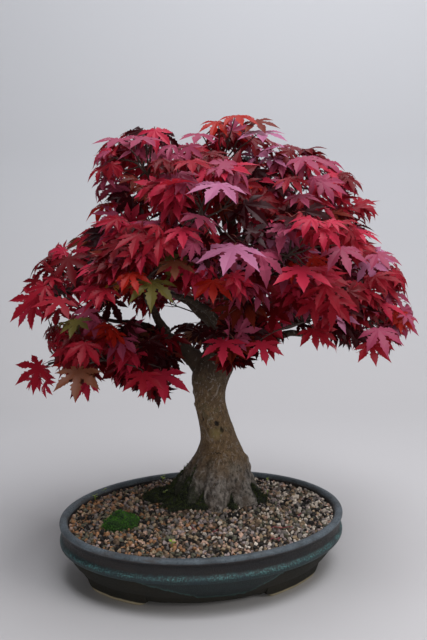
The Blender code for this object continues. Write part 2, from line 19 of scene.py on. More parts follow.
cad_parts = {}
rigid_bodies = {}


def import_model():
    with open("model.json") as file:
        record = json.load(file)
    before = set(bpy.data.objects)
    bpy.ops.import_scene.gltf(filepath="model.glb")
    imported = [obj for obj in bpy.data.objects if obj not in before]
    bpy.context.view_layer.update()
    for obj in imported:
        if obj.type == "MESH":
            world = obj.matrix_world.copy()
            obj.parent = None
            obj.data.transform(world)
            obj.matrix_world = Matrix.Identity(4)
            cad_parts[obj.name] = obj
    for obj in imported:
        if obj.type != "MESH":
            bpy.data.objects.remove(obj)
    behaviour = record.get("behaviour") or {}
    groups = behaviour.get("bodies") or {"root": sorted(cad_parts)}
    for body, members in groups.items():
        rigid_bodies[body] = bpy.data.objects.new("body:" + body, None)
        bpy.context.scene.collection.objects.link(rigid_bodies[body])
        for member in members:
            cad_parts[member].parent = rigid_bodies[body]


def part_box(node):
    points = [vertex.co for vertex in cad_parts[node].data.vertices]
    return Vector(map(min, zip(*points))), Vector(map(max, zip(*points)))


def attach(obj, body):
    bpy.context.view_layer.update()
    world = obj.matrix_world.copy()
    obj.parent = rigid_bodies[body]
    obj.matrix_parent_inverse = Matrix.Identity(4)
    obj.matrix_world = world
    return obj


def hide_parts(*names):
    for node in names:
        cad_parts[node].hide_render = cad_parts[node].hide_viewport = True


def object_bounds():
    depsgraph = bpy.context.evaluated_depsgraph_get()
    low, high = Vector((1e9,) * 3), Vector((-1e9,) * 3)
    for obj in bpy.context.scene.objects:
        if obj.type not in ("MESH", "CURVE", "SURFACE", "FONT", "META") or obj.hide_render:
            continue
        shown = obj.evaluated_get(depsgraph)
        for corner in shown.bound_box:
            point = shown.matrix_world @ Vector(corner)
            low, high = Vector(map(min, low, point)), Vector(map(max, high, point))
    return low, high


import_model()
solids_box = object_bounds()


# Pot ---------------------------------------------------------------------------------
# An oval stoneware bonsai pot, pressed in a mould and fired once.  A blue-green glaze
# breaks light over its lip and its raised belt, where painted highlights and a painted sky
# reflection add to it, pools in tongues between the four bracket feet, and leaves the
# olive-brown clay bare over each foot.  Two drain holes in the floor.

POT_LOW, POT_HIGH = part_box("pot")
POT_MIDDLE = Vector(((POT_LOW[0] + POT_HIGH[0]) / 2, (POT_LOW[1] + POT_HIGH[1]) / 2, 0.0))
POT_SKIN = 0.0002            # the belt's crest stands this far in from the plan's outline
POT_HALF_X = (POT_HIGH[0] - POT_LOW[0]) / 2 + POT_SKIN
POT_HALF_Y = (POT_HIGH[1] - POT_LOW[1]) / 2 + POT_SKIN
POT_SIDES = 200
FLOOR_TOP = 0.011
FOOT_CLEAR = 0.005           # underside of the floor above the feet

# Outside, lip and inside of the wall: inset from the plan's outline, and height.
POT_WALL = (
    (0.0240, FOOT_CLEAR), (0.0214, 0.0080), (0.0190, 0.0125), (0.0150, 0.0170),
    (0.0110, 0.0225), (0.0080, 0.0285), (0.0062, 0.0332), (0.0044, 0.0345),
    (0.0016, 0.0354), (0.0006, 0.0366), (0.0002, 0.0385), (0.0004, 0.0405),
    (0.0016, 0.0420), (0.0030, 0.0432), (0.0034, 0.0455), (0.0034, 0.0490),
    (0.0027, 0.0518), (0.0014, 0.0538), (0.0005, 0.0555), (0.0003, 0.0572),
    (0.0010, 0.0588), (0.0028, 0.0598), (0.0048, 0.0600), (0.0066, 0.0595),
    (0.0080, 0.0582), (0.0090, 0.0555), (0.0098, 0.0520), (0.0150, 0.0380),
    (0.0230, 0.0180), (0.0280, FLOOR_TOP),
)
FLOOR_INSETS = (0.045, 0.065, 0.085, 0.105)
HAND_WOBBLE = 0.00022        # unevenness left by the mould and the sponge
FOOT_SPREAD, FOOT_TURN, FOOT_HALF = 44, -8, 19          # degrees
DRAIN_RADIUS, DRAIN_PLACE = 0.008, 0.062
DRAIN_SIDES, DRAIN_TOP = 40, 0.02

# Bracket foot: inset and height round its section; then how far along it stays flat, the
# stretch over which it lifts, and how much thinner it ends.
FOOT_SECTION = (
    (0.0180, 0.0140), (0.0194, 0.0105), (0.0206, 0.0060), (0.0217, 0.0022),
    (0.0229, 0.0003), (0.0250, 0.0), (0.0290, 0.0), (0.0306, 0.0006),
    (0.0314, 0.0030), (0.0312, 0.0080),
)
FOOT_STEPS, FOOT_FLAT, FOOT_CURL, FOOT_THINS = 28, 0.72, 0.28, 0.35

# Glaze tongues: angle of the middle, half width, and the width of the slope to either
# side of it, in degrees.
TONGUES = ((-91, 11, 27, 15), (-20, 8, 10, 22), (89, 11, 15, 27), (170, 8, 22, 10))
TONGUE_FOOT, GLAZE_HEM = 0.0125, 0.0335   # where the glaze ends, in a tongue and over a foot
GLAZE_STEP, GLAZE_MOST = 0.004, 4.0       # its attribute goes by this length, up to so many
BARE_BELOW, BARE_WITHIN = 0.034, 0.80     # the underside and how far out it goes, left bare


def flowing(points, steps):
    """A smooth line through points, by a cubic between each two."""
    line = []
    for i in range(len(points) - 1):
        before = points[max(i - 1, 0)]
        start, end = points[i], points[i + 1]
        after = points[min(i + 2, len(points) - 1)]
        for k in range(steps):
            t = k / steps
            line.append(tuple(
                0.5 * (2 * b + (c - a) * t + (2 * a - 5 * b + 4 * c - d) * t ** 2
                       + (3 * b - a - 3 * c + d) * t ** 3)
                for a, b, c, d in zip(before, start, end, after)
            ))
    line.append(tuple(points[-1]))
    return line


def lofted(rings, capped=True):
    """Points and faces of closed rings joined one to the next."""
    count = len(rings[0])
    points = [point for ring in rings for point in ring]
    faces = []
    for level in range(len(rings) - 1):
        for i in range(count):
            j = (i + 1) % count
            low, high = level * count, (level + 1) * count
            faces.append((low + i, low + j, high + j, high + i))
    if capped:
        faces.append(tuple(reversed(range(count))))
        faces.append(tuple(range(len(points) - count, len(points))))
    return points, faces


def make_mesh(name, points, faces, facing_out=True):
    """A mesh from points and faces, its faces turned outwards."""
    mesh = bpy.data.meshes.new(name)
    mesh.from_pydata([tuple(p) for p in points], [], faces)
    if facing_out:
        shape = bmesh.new()
        shape.from_mesh(mesh)
        bmesh.ops.recalc_face_normals(shape, faces=shape.faces)
        shape.to_mesh(mesh)
        shape.free()
    return mesh


def turns(count):
    """Angles evenly round a circle."""
    return [math.tau * i / count for i in range(count)]


def level_way(angle):
    """The level direction at an angle."""
    return Vector((math.cos(angle), math.sin(angle), 0))


def short_way(degrees):
    """An angle as its turn from -180 to 180 degrees."""
    return (degrees + 180) % 360 - 180


def held(value):
    """A number held between 0 and 1."""
    return min(max(value, 0.0), 1.0)


def smoothed(mesh, degrees=40):
    """Smooth a mesh, but for edges sharper than an angle."""
    mesh.shade_smooth()
    mesh.set_sharp_from_angle(angle=math.radians(degrees))


def add_piece(name, mesh, *finishes, smooth=40):
    """A piece of the plant, with its finishes and its smooth faces."""
    for finish in finishes:
        mesh.materials.append(finish)
    smoothed(mesh, smooth)
    piece = bpy.data.objects.new(name, mesh)
    bpy.context.collection.objects.link(piece)
    return piece


def applied(piece):
    """Turn a piece's modifiers into plain mesh."""
    bpy.context.view_layer.update()
    shown = piece.evaluated_get(bpy.context.evaluated_depsgraph_get())
    mesh = bpy.data.meshes.new_from_object(shown)
    piece.modifiers.clear()
    piece.data = mesh
    return piece


def marked(piece, name, values):
    """Give every point of a piece a number, under a name."""
    piece.data.attributes.new(name, "FLOAT", "POINT").data.foreach_set("value", values)


def new_finish(name, colour=(0.5, 0.5, 0.5), roughness=0.5):
    """A material and its shader."""
    finish = bpy.data.materials.new(name)
    finish.use_nodes = True
    shader = finish.node_tree.nodes["Principled BSDF"]
    return finish, fed(shader, Base_Color=(*colour, 1), Roughness=roughness)


def beside(socket, kind):
    """A new node in the tree of a shader or of another node's output."""
    return socket.id_data.nodes.new(kind)


def fed(node, **inputs):
    """Set a node's inputs by name or number: a plain value, or another node's output."""
    for name, value in inputs.items():
        socket = node.inputs[int(name[1:]) if name[0] == "_" else name.replace("_", " ")]
        if isinstance(value, bpy.types.NodeSocket):
            node.id_data.links.new(value, socket)
        else:
            socket.default_value = value
    return node


def place_on(shader):
    """The place on the plant."""
    return beside(shader, "ShaderNodeTexCoord").outputs["Object"]


def height_of(place):
    """The height of a place."""
    return fed(beside(place, "ShaderNodeSeparateXYZ"), _0=place).outputs["Z"]


def mark_on(shader, name):
    """The number that the points were given under a name."""
    node = beside(shader, "ShaderNodeAttribute")
    node.attribute_name = name
    return node.outputs["Fac"]


def grain(place, scale, detail=3.0, rough=0.55, warp=0.0):
    """A cloud of noise, from 0 to 1."""
    node = fed(beside(place, "ShaderNodeTexNoise"), Vector=place, Scale=scale, Detail=detail,
               Roughness=rough, Distortion=warp)
    return node.outputs["Fac"]


def long_grain(place, scales, detail, rough):
    """A cloud of noise that is drawn out along an axis."""
    drawn = fed(beside(place, "ShaderNodeMapping"), Vector=place, Scale=scales)
    return grain(drawn.outputs[0], 1.0, detail, rough)


def worked(how, a, b):
    """One number from two, the first of them a node's output."""
    node = beside(a, "ShaderNodeMath")
    node.operation = how
    return fed(node, _0=a, _1=b).outputs[0]


def plus(a, b):
    """Two numbers added."""
    return worked("ADD", a, b)


def times(a, b):
    """Two numbers multiplied."""
    return worked("MULTIPLY", a, b)


def from_to(value, low, high, to_low=0.0, to_high=1.0):
    """A number stretched from one range to another, and held there."""
    node = beside(value, "ShaderNodeMapRange")
    return fed(node, _0=value, _1=low, _2=high, _3=to_low, _4=to_high).outputs[0]


def blend_of(share, under, over):
    """A colour between two."""
    node = beside(share, "ShaderNodeMix")
    node.data_type = "RGBA"
    under, over = ((*c, 1) if isinstance(c, tuple) else c for c in (under, over))
    return fed(node, _0=share, _6=under, _7=over).outputs[2]


def layered(colour, *layers):
    """A colour under others, each laid on as a value passes from one bound to another."""
    for value, low, high, over, *most in layers:
        colour = blend_of(from_to(value, low, high, 0.0, *(most or (1.0,))), colour, over)
    return colour


def bumped(shader, height, strength, depth):
    """Give a shader a fine relief."""
    node = fed(beside(shader, "ShaderNodeBump"), Strength=strength, Distance=depth, Height=height)
    fed(shader, Normal=node.outputs[0])


def oval(inset, height, wobble=0.0):
    """One ring of the pot's oval plan, set in from its outline."""
    ring = []
    for angle in turns(POT_SIDES):
        way = level_way(angle)
        shift = wobble * noise.noise(way * 3 + Vector((0, 0, height * 60)))
        x = (POT_HALF_X - inset - abs(shift)) * way.x
        y = (POT_HALF_Y - inset - abs(shift)) * way.y
        ring.append(POT_MIDDLE + Vector((x, y, height + shift * 0.5)))
    return ring


def bracket_foot(middle):
    """A low bracket foot that follows the oval and lifts at both ends."""
    inner, top = FOOT_SECTION[0]
    rings = []
    for i in range(FOOT_STEPS + 1):
        along = 2 * i / FOOT_STEPS - 1
        angle = math.radians(middle + along * FOOT_HALF)
        lift = FOOT_CLEAR * max(0.0, (abs(along) - FOOT_FLAT) / FOOT_CURL) ** 2
        thin = 1.0 - FOOT_THINS * along ** 4
        ring = []
        for inset, height in flowing(FOOT_SECTION, 2):
            inset = inner + (inset - inner) * thin
            height = height + lift * (1 - height / top)
            x = (POT_HALF_X - inset) * math.cos(angle)
            y = (POT_HALF_Y - inset) * math.sin(angle)
            ring.append(POT_MIDDLE + Vector((x, y, height)))
        rings.append(ring)
    return lofted(rings)


def glaze_edge(angle):
    """Height at which the glaze ends on the outside, at an angle in degrees."""
    height = GLAZE_HEM
    for middle, half, left, right in TONGUES:
        away = short_way(angle - middle)
        rise = held((abs(away) - half) / (left if away < 0 else right))
        height = min(height, TONGUE_FOOT + (GLAZE_HEM - TONGUE_FOOT) * rise ** 0.75)
    return height


def glaze_share(point):
    """How far above (+) or below (-) the glaze's edge a point of the pot lies."""
    away = point - POT_MIDDLE
    if point.z < BARE_BELOW and math.hypot(away.x / POT_HALF_X, away.y / POT_HALF_Y) < BARE_WITHIN:
        return -GLAZE_MOST
    angle = math.degrees(math.atan2(away.y / POT_HALF_Y, away.x / POT_HALF_X))
    share = (point.z - glaze_edge(angle)) / GLAZE_STEP
    return max(-GLAZE_MOST, min(GLAZE_MOST, share))


def glaze_finish():
    """Blue-green glaze over olive-brown clay, told apart by the glaze attribute."""
    finish, shader = new_finish("stoneware glaze")
    place = place_on(shader)
    height = height_of(place)
    streaks = long_grain(place, (22, 22, 160), 4.0, 0.6)
    drips = long_grain(place, (210, 210, 40), 2.0, 0.5)
    cloud = grain(place, 45, 4.0, 0.6, 0.4)
    speckle = grain(place, 620, 3.0, 0.7)

    # Upper wall: dark purple grey with brown brush streaks.
    wall = layered(
        (0.005, 0.005, 0.007), (streaks, 0.42, 0.66, (0.014, 0.010, 0.009)),
        (cloud, 0.50, 0.75, (0.007, 0.010, 0.014), 0.6),
    )
    # The belt's crest and what runs down from it: teal, with a pale speckled line along the
    # crest that is partly the glaze breaking and partly a painted highlight.
    teal = layered((0.003, 0.014, 0.016), (speckle, 0.50, 0.66, (0.025, 0.070, 0.072)))
    crest = times(from_to(height, 0.0385, 0.0405), from_to(height, 0.0450, 0.0425))
    crest = times(crest, from_to(speckle, 0.47, 0.58, 0.0, 0.85))
    teal = blend_of(crest, teal, (0.070, 0.200, 0.200))
    teal = layered(teal, (cloud, 0.42, 0.66, (0.010, 0.024, 0.034), 0.75))
    # Under the belt the glaze turns dark teal: the tongues' own colour, with a painted shadow under
    # the belt's overhang.
    dark = layered((0.002, 0.008, 0.009), (speckle, 0.52, 0.70, (0.011, 0.034, 0.032)))
    ragged = plus(height, times(drips, 0.006))
    glazed = layered(teal, (ragged, 0.0440, 0.0475, wall), (height, 0.0355, 0.0325, dark))
    # The lip: blue grey where the glaze thins, partly a painted sky reflection, with a brown line
    # under its roll and a painted highlight along its top edge.
    lip = layered(
        (0.045, 0.058, 0.068), (cloud, 0.35, 0.65, (0.118, 0.152, 0.180)),
        (speckle, 0.50, 0.66, (0.020, 0.030, 0.038), 0.8),
        (streaks, 0.55, 0.66, (0.060, 0.045, 0.040), 0.7),
        (plus(height, times(cloud, 0.0010)), 0.0612, 0.0622, (0.145, 0.240, 0.300), 0.70),
    )
    glazed = layered(
        glazed, (height, 0.0548, 0.0562, (0.030, 0.020, 0.020)),
        (plus(height, times(cloud, 0.0016)), 0.0563, 0.0577, lip),
    )
    # Bare clay with a pale line along the feet's lower edge, partly worn clay and partly a
    # painted highlight, and the glaze's thick pale hem where it stops above it.
    clay = layered(
        (0.007, 0.007, 0.004), (cloud, 0.35, 0.7, (0.018, 0.015, 0.009)),
        (speckle, 0.60, 0.75, (0.045, 0.038, 0.024), 0.5),
        (plus(height, times(cloud, 0.0022)), 0.0052, 0.0038, (0.420, 0.355, 0.230)),
    )
    edge = plus(mark_on(shader, "glaze"), from_to(drips, 0.3, 0.7, -0.30, 0.30))
    covered = from_to(edge, -0.05, 0.08)
    hem = times(from_to(edge, 0.75, 0.10), from_to(speckle, 0.40, 0.62, 0.0, 0.85))
    glazed = blend_of(hem, glazed, (0.045, 0.135, 0.120))

    gloss = plus(from_to(speckle, 0.35, 0.70, 0.0, 0.22), from_to(cloud, 0.3, 0.7, 0.34, 0.50))
    dull = plus(times(covered, -0.45), 0.45)
    fed(shader, Base_Color=blend_of(covered, clay, glazed), Roughness=plus(dull, gloss))
    relief = plus(plus(times(covered, 1.2), speckle), gloss)
    bumped(shader, relief, 0.60, 0.0009)
    return finish


def make_pot(finish):
    """The pot with its feet, its drains cut through the floor."""
    rings = [oval(inset, FOOT_CLEAR) for inset in reversed(FLOOR_INSETS)]
    rings += [oval(inset, height, HAND_WOBBLE) for inset, height in flowing(POT_WALL, 3)]
    rings += [oval(inset, FLOOR_TOP) for inset in FLOOR_INSETS]
    pot = add_piece("glazed_pot", make_mesh("glazed_pot", *lofted(rings)), finish)
    for side in (-1, 1):
        rings = []
        for height in (0.0, DRAIN_TOP):
            middle = POT_MIDDLE + Vector((side * DRAIN_PLACE, 0, height))
            rings.append([middle + level_way(a) * DRAIN_RADIUS for a in turns(DRAIN_SIDES)])
        cutter = add_piece("drain", make_mesh("drain", *lofted(rings)))
        cut = pot.modifiers.new("drain", "BOOLEAN")
        cut.object = cutter
        cut.solver = "EXACT"
        applied(pot)
        bpy.data.objects.remove(cutter)
    shape = bmesh.new()
    shape.from_mesh(pot.data)
    for half_turn in (0, 180):
        for spread in (FOOT_SPREAD, -FOOT_SPREAD):
            middle = FOOT_TURN + half_turn + spread
            shape.from_mesh(make_mesh("foot", *bracket_foot(middle)))
    shape.to_mesh(pot.data)
    shape.free()
    smoothed(pot.data)
    marked(pot, "glaze", [glaze_share(vertex.co) for vertex in pot.data.vertices])
    return pot


pot = make_pot(glaze_finish())
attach(pot, "root")
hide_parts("pot")


# Soil and gravel ---------------------------------------------------------------------
# Free-draining earth, mounded a little to the trunk and dressed all over with crushed
# stone of 3 to 5 mm: brown, tan, grey, orange, pink and green grains as they come.

SOIL_EDGE, SOIL_MOUND = 0.0545, 0.0085
SOIL_RIPPLE, SOIL_LUMP = 0.0006, 0.0009
HEAP_LIFT, HEAP_SWING, HEAP_SCALE = 0.0011, 0.0022, 48
SOIL_SINK, GRAVEL_SINK = 0.0022, 0.0016     # the earth and its stones' bed under the surface
SOIL_SIDE = ((0.0288, FLOOR_TOP + 0.0005), (0.0160, 0.0380))       # inset and height
BED_INSET = 0.0110
SOIL_TOP_RINGS = 26
GRAIN_SIZE, GRAIN_SPACING = 0.00280, 0.00385
GRAIN_CORNERS = 14           # of each crushed grain before its hull is taken
GRAIN_SHAPES = 9
GRAIN_WIDTHS, GRAIN_HEIGHTS, GRAIN_REACHES = (0.72, 0.95), (0.55, 0.80), (0.88, 1.08)
GRAIN_SPREAD, GRAIN_TUMBLE, GRAIN_DRIFT = 0.30, 3.1, 0.45
LAYERS = (("under", -0.0016, 9), ("top", 0.0, 4))       # of stones: name, lift and seed
MOST_SPOTS = 4.0e5           # strewn to a square metre
TREE_TURN = math.radians(-13.9)

# Kinds of stone: the share of the grains up to which each goes, and its colour.
STONES = {
    "rust": (0.05, (0.353, 0.178, 0.085)),
    "brown": (0.20, (0.130, 0.087, 0.056)),
    "tan": (0.34, (0.363, 0.267, 0.170)),
    "dark": (0.47, (0.020, 0.017, 0.015)),
    "sage": (0.58, (0.144, 0.138, 0.095)),
    "pink": (0.68, (0.521, 0.338, 0.255)),
    "grey": (0.81, (0.186, 0.165, 0.151)),
    "mauve": (0.92, (0.335, 0.271, 0.259)),
    "pale": (1.00, (0.651, 0.570, 0.484)),
}


def tree_place(side, deep, height):
    """A place in the tree's own axes, turned into the pot's."""
    return POT_MIDDLE + Matrix.Rotation(TREE_TURN, 3, "Z") @ Vector((side, deep, height))


def soil_height(point):
    """Height of the soil's surface: a low mound round the trunk."""
    x, y = point.x - POT_MIDDLE.x, point.y - POT_MIDDLE.y
    reach = min(1.0, math.hypot(x / POT_HALF_X, y / POT_HALF_Y) * 1.07)
    ripple = SOIL_RIPPLE * math.sin(70 * x) * math.cos(90 * y)
    heaps = HEAP_LIFT + HEAP_SWING * noise.noise(Vector((x, y, 3.0)) * HEAP_SCALE)
    return SOIL_EDGE + SOIL_MOUND * (1 - reach ** 2) + ripple + heaps * min(1.0, 6 * (1 - reach))


def soil_rings(lowered):
    """Rings of the soil's surface, from the wall in to the middle."""
    rings = []
    for k in range(SOIL_TOP_RINGS):
        ring = oval(BED_INSET, 0.0)
        part = 1 - k / SOIL_TOP_RINGS
        for point in ring:
            point.x = POT_MIDDLE.x + (point.x - POT_MIDDLE.x) * part
            point.y = POT_MIDDLE.y + (point.y - POT_MIDDLE.y) * part
            lump = SOIL_LUMP * noise.noise(point * 130)
            point.z = soil_height(point) - lowered + lump
        rings.append(ring)
    return rings


def earth_finish():
    """Dark, damp, crumbly earth."""
    finish, shader = new_finish("damp earth", roughness=0.95)
    crumbs = grain(place_on(shader), 420, 4.0, 0.7)
    tint = layered((0.005, 0.004, 0.003), (crumbs, 0.35, 0.7, (0.030, 0.021, 0.014)))
    fed(shader, Base_Color=tint)
    bumped(shader, crumbs, 0.9, 0.0015)
    return finish


def stone_finish(name, colour):
    """Crushed stone of one kind, a little darker in its pores."""
    finish, shader = new_finish(f"{name} stone", roughness=0.85)
    place = place_on(shader)
    lighter = tuple(min(c * 1.35, 0.9) for c in colour)
    darker = tuple(c * 0.62 for c in colour)
    fed(shader, Base_Color=layered(darker, (grain(place, 260, 2.0, 0.5), 0.35, 0.65, lighter)))
    bumped(shader, grain(place, 1500, 2.0, 0.6), 0.5, 0.0004)
    return finish


def scatter_tree():
    """Geometry nodes that strew small shapes over a surface and keep one share of them."""
    tree = bpy.data.node_groups.new("strewn shapes", "GeometryNodeTree")
    for name, kind, value in (
        ("Surface", "Geometry", None), ("Spacing", "Float", 0.003), ("Size", "Float", 0.002),
        ("Size spread", "Float", 0.3), ("Tumble", "Float", 3.1), ("Lift", "Float", 0.0),
        ("Drift", "Float", 0.0), ("Share from", "Float", 0.0), ("Share to", "Float", 1.0),
        ("Seed", "Int", 1), ("Shapes", "Collection", None), ("Finish", "Material", None),
    ):
        socket = tree.interface.new_socket(name, in_out="INPUT", socket_type=f"NodeSocket{kind}")
        if value is not None:
            socket.default_value = value
    tree.interface.new_socket("Strewn", in_out="OUTPUT", socket_type="NodeSocketGeometry")
    given = tree.nodes.new("NodeGroupInput").outputs

    def made(kind, output=0, **inputs):
        """What a node of a kind makes of its inputs."""
        return fed(tree.nodes.new(kind), **inputs).outputs[output]

    def both(kind, how, a, b):
        """What a node that works in one of several ways makes of two inputs."""
        node = tree.nodes.new(kind)
        node.operation = how
        return fed(node, _0=a, _1=b).outputs[0]

    def by_chance(kind, output, seed, **bounds):
        """A random value for every spot."""
        node = tree.nodes.new("FunctionNodeRandomValue")
        node.data_type = kind
        return fed(node, Seed=seed, **bounds).outputs[output]

    spots = tree.nodes.new("GeometryNodeDistributePointsOnFaces")
    spots.distribute_method = "POISSON"
    fed(spots, Density_Max=MOST_SPOTS, Distance_Min=given["Spacing"], Mesh=given["Surface"],
        Seed=given["Seed"])

    # A spot's share: chance, with a drift to one kind or another along the pot.
    across = made("ShaderNodeSeparateXYZ", "X", _0=made("GeometryNodeInputPosition"))
    slope = made("ShaderNodeMapRange", _0=across, _1=POT_LOW[0], _2=POT_HIGH[0], _3=-0.5, _4=0.5)
    share = plus(by_chance("FLOAT", 1, 3), times(slope, given["Drift"]))
    share = made("ShaderNodeClamp", Value=share, Min=0.0001, Max=0.9999)
    below = both("FunctionNodeCompare", "LESS_THAN", share, given["Share from"])
    above = both("FunctionNodeCompare", "GREATER_EQUAL", share, given["Share to"])
    kept = tree.nodes.new("GeometryNodeDeleteGeometry")
    kept.domain = "POINT"
    fed(kept, Geometry=spots.outputs["Points"],
        Selection=both("FunctionNodeBooleanMath", "OR", below, above))
    lifted = made("GeometryNodeSetPosition", Geometry=kept.outputs[0],
                  Offset=made("ShaderNodeCombineXYZ", Z=given["Lift"]))

    # Turned at random, as far as the tumble allows, and sized at random.
    spin = by_chance("FLOAT_VECTOR", 0, 5, _0=(-1.0, -1.0, -3.14), _1=(1.0, 1.0, 3.14))
    reach = made("ShaderNodeCombineXYZ", X=given["Tumble"], Y=given["Tumble"], Z=1.0)
    turned = tree.nodes.new("FunctionNodeRotateRotation")
    turned.rotation_space = "LOCAL"
    fed(turned, _0=spots.outputs["Rotation"], _1=made(
        "FunctionNodeEulerToRotation", _0=both("ShaderNodeVectorMath", "MULTIPLY", spin, reach)))
    low, high = (both("ShaderNodeMath", how, 1.0, given["Size spread"])
                 for how in ("SUBTRACT", "ADD"))
    size = times(by_chance("FLOAT", 1, 7, _2=low, _3=high), given["Size"])
    shapes = made("GeometryNodeCollectionInfo", Collection=given["Shapes"],
                  Separate_Children=True, Reset_Children=True)
    strewn = made("GeometryNodeInstanceOnPoints", Points=lifted, Instance=shapes,
                  Pick_Instance=True, Instance_Index=by_chance("INT", 2, 11, _4=0, _5=1000),
                  Rotation=turned.outputs[0], Scale=size)
    real = made("GeometryNodeRealizeInstances", Geometry=strewn)
    coloured = made("GeometryNodeSetMaterial", Geometry=real, Material=given["Finish"])
    fed(tree.nodes.new("NodeGroupOutput"), _0=coloured)
    return tree


def strew(name, bed, tree, **inputs):
    """Strew shapes over a bed mesh and keep the result as a plain mesh."""
    piece = bpy.data.objects.new(name, bed.copy())
    bpy.context.collection.objects.link(piece)
    strewing = piece.modifiers.new("strewn", "NODES")
    strewing.node_group = tree
    for item in tree.interface.items_tree:
        key = item.name.replace(" ", "_").lower()
        if item.in_out == "INPUT" and key in inputs:
            strewing[item.identifier] = inputs[key]
    applied(piece).data.name = name
    return piece


def wobble(chance, amount):
    """A small random vector."""
    return Vector((chance.gauss(0, 1), chance.gauss(0, 1), chance.gauss(0, 1))) * amount


def stretched(way, reaches):
    """A direction stretched along each axis."""
    return Vector([a * b for a, b in zip(way, reaches)])


def crushed_grains():
    """A collection of grains: hulls of points strewn on a flattened ball."""
    chance = random.Random(8)
    grains = bpy.data.collections.new("crushed grains")
    for number in range(GRAIN_SHAPES):
        shape = bmesh.new()
        girths = Vector((1.0, chance.uniform(*GRAIN_WIDTHS), chance.uniform(*GRAIN_HEIGHTS)))
        for _ in range(GRAIN_CORNERS):
            way = stretched(wobble(chance, 1).normalized(), girths)
            shape.verts.new(way * chance.uniform(*GRAIN_REACHES))
        hull = bmesh.ops.convex_hull(shape, input=shape.verts)
        inner = [v for v in hull["geom_interior"] if v.is_valid]
        bmesh.ops.delete(shape, geom=inner, context="VERTS")
        bmesh.ops.recalc_face_normals(shape, faces=shape.faces)
        mesh = bpy.data.meshes.new(f"grain_{number}")
        shape.to_mesh(mesh)
        shape.free()
        grains.objects.link(bpy.data.objects.new(mesh.name, mesh))
    return grains


def empty_out(collection):
    """Remove a collection of shapes that only served to be strewn."""
    for thing in list(collection.objects):
        bpy.data.objects.remove(thing)
    bpy.data.collections.remove(collection)


soil_side = [oval(inset, height) for inset, height in SOIL_SIDE]
earth = add_piece(
    "earth", make_mesh("earth", *lofted(soil_side + soil_rings(SOIL_SINK))), earth_finish()
)
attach(earth, "root")
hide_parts("soil")

gravel_bed = make_mesh(
    "gravel_bed", *lofted(soil_rings(GRAVEL_SINK), capped=False), facing_out=False
)
gravel_bed.flip_normals()
strewn_tree = scatter_tree()
grains = crushed_grains()
share_from = 0.0
for kind, (share_to, colour) in STONES.items():
    stone = stone_finish(kind, colour)
    for layer, lift, seed in LAYERS:
        gravel = strew(
            f"{kind}_gravel_{layer}", gravel_bed, strewn_tree, spacing=GRAIN_SPACING,
            size=GRAIN_SIZE, size_spread=GRAIN_SPREAD, tumble=GRAIN_TUMBLE, lift=lift,
            drift=GRAIN_DRIFT,
            share_from=share_from, share_to=share_to, seed=seed, shapes=grains, finish=stone,
        )
        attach(gravel, "root")
        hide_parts("soil")
    share_from = share_to
empty_out(grains)
bpy.data.meshes.remove(gravel_bed)


# Trunk and boughs --------------------------------------------------------------------
# An old maple trunk with grey, furrowed surface roots, a thinner brown bark above them and
# three healed pruning scars; it forks at the height of a hand into boughs that carry the
# foliage.  Every limb grows on the same centre line and to the same girth as its solid.

SOIL_LINE = 0.0585           # the trunk's flat cut, seated in the soil
TRUNK_DEEP = 0.031
TRUNK_SIDES, BARK_SMOOTH = 240, 70
# Spans of the trunk's rings: from, to and step, closest where the bark is roughest.
TRUNK_LEVELS = ((SOIL_LINE - 0.004, 0.130, 0.0009), (0.130, 0.236, 0.0011), (0.236, 0.3751, 0.0017))

# Trunk and leader: height, shift to the side, radius.
TRUNK = (
    (SOIL_LINE, 0.0150, 0.0395), (0.066, 0.0152, 0.0386), (0.074, 0.0155, 0.0362),
    (0.083, 0.0158, 0.0336), (0.093, 0.0164, 0.0306), (0.104, 0.0174, 0.0274),
    (0.115, 0.0179, 0.0236), (0.127, 0.0166, 0.0195), (0.145, 0.0125, 0.0174),
    (0.163, 0.0080, 0.0162), (0.180, 0.0060, 0.0164), (0.195, 0.0075, 0.0196),
    (0.207, 0.0110, 0.0208), (0.220, 0.0150, 0.0170), (0.235, 0.0205, 0.0130),
    (0.255, 0.0270, 0.0112), (0.280, 0.0330, 0.0096), (0.315, 0.0335, 0.0078),
    (0.345, 0.0310, 0.0058), (0.375, 0.0270, 0.0036),
)

# Surface roots: direction and half width in degrees, and how far each stands out of the
# trunk at the soil; then the smaller ridges and hollows between them.
ROOTS = (
    (178, 17, 0.0220), (150, 14, 0.0150), (-142, 16, 0.0130), (-94, 13, 0.0045),
    (-22, 13, 0.0050), (6, 14, 0.0100), (28, 14, 0.0130), (72, 16, 0.0050),
    (112, 15, 0.0060),
)
ROOT_TOP = 0.120             # height at which the roots have merged into the trunk
FURROWS = (
    (-172, 5, 0.0030), (-160, 4, -0.0040), (-150, 4, 0.0024), (-133, 4, 0.0030),
    (-122, 4, -0.0042), (-113, 3.5, 0.0026), (-101, 3, 0.0016), (-88, 3, 0.0020),
    (-79, 3.5, -0.0016), (-66, 7, -0.0066), (-52, 4, 0.0020), (-42, 4, -0.0030),
    (-30, 4, 0.0026), (-14, 4, -0.0032), (-2, 4, 0.0022), (14, 4, -0.0030),
    (24, 4, 0.0024), (44, 6, -0.0030), (58, 5, 0.0020), (84, 5, 0.0020),
    (98, 5, -0.0026), (124, 5, 0.0022), (136, 4, -0.0034), (160, 4, -0.0030),
)

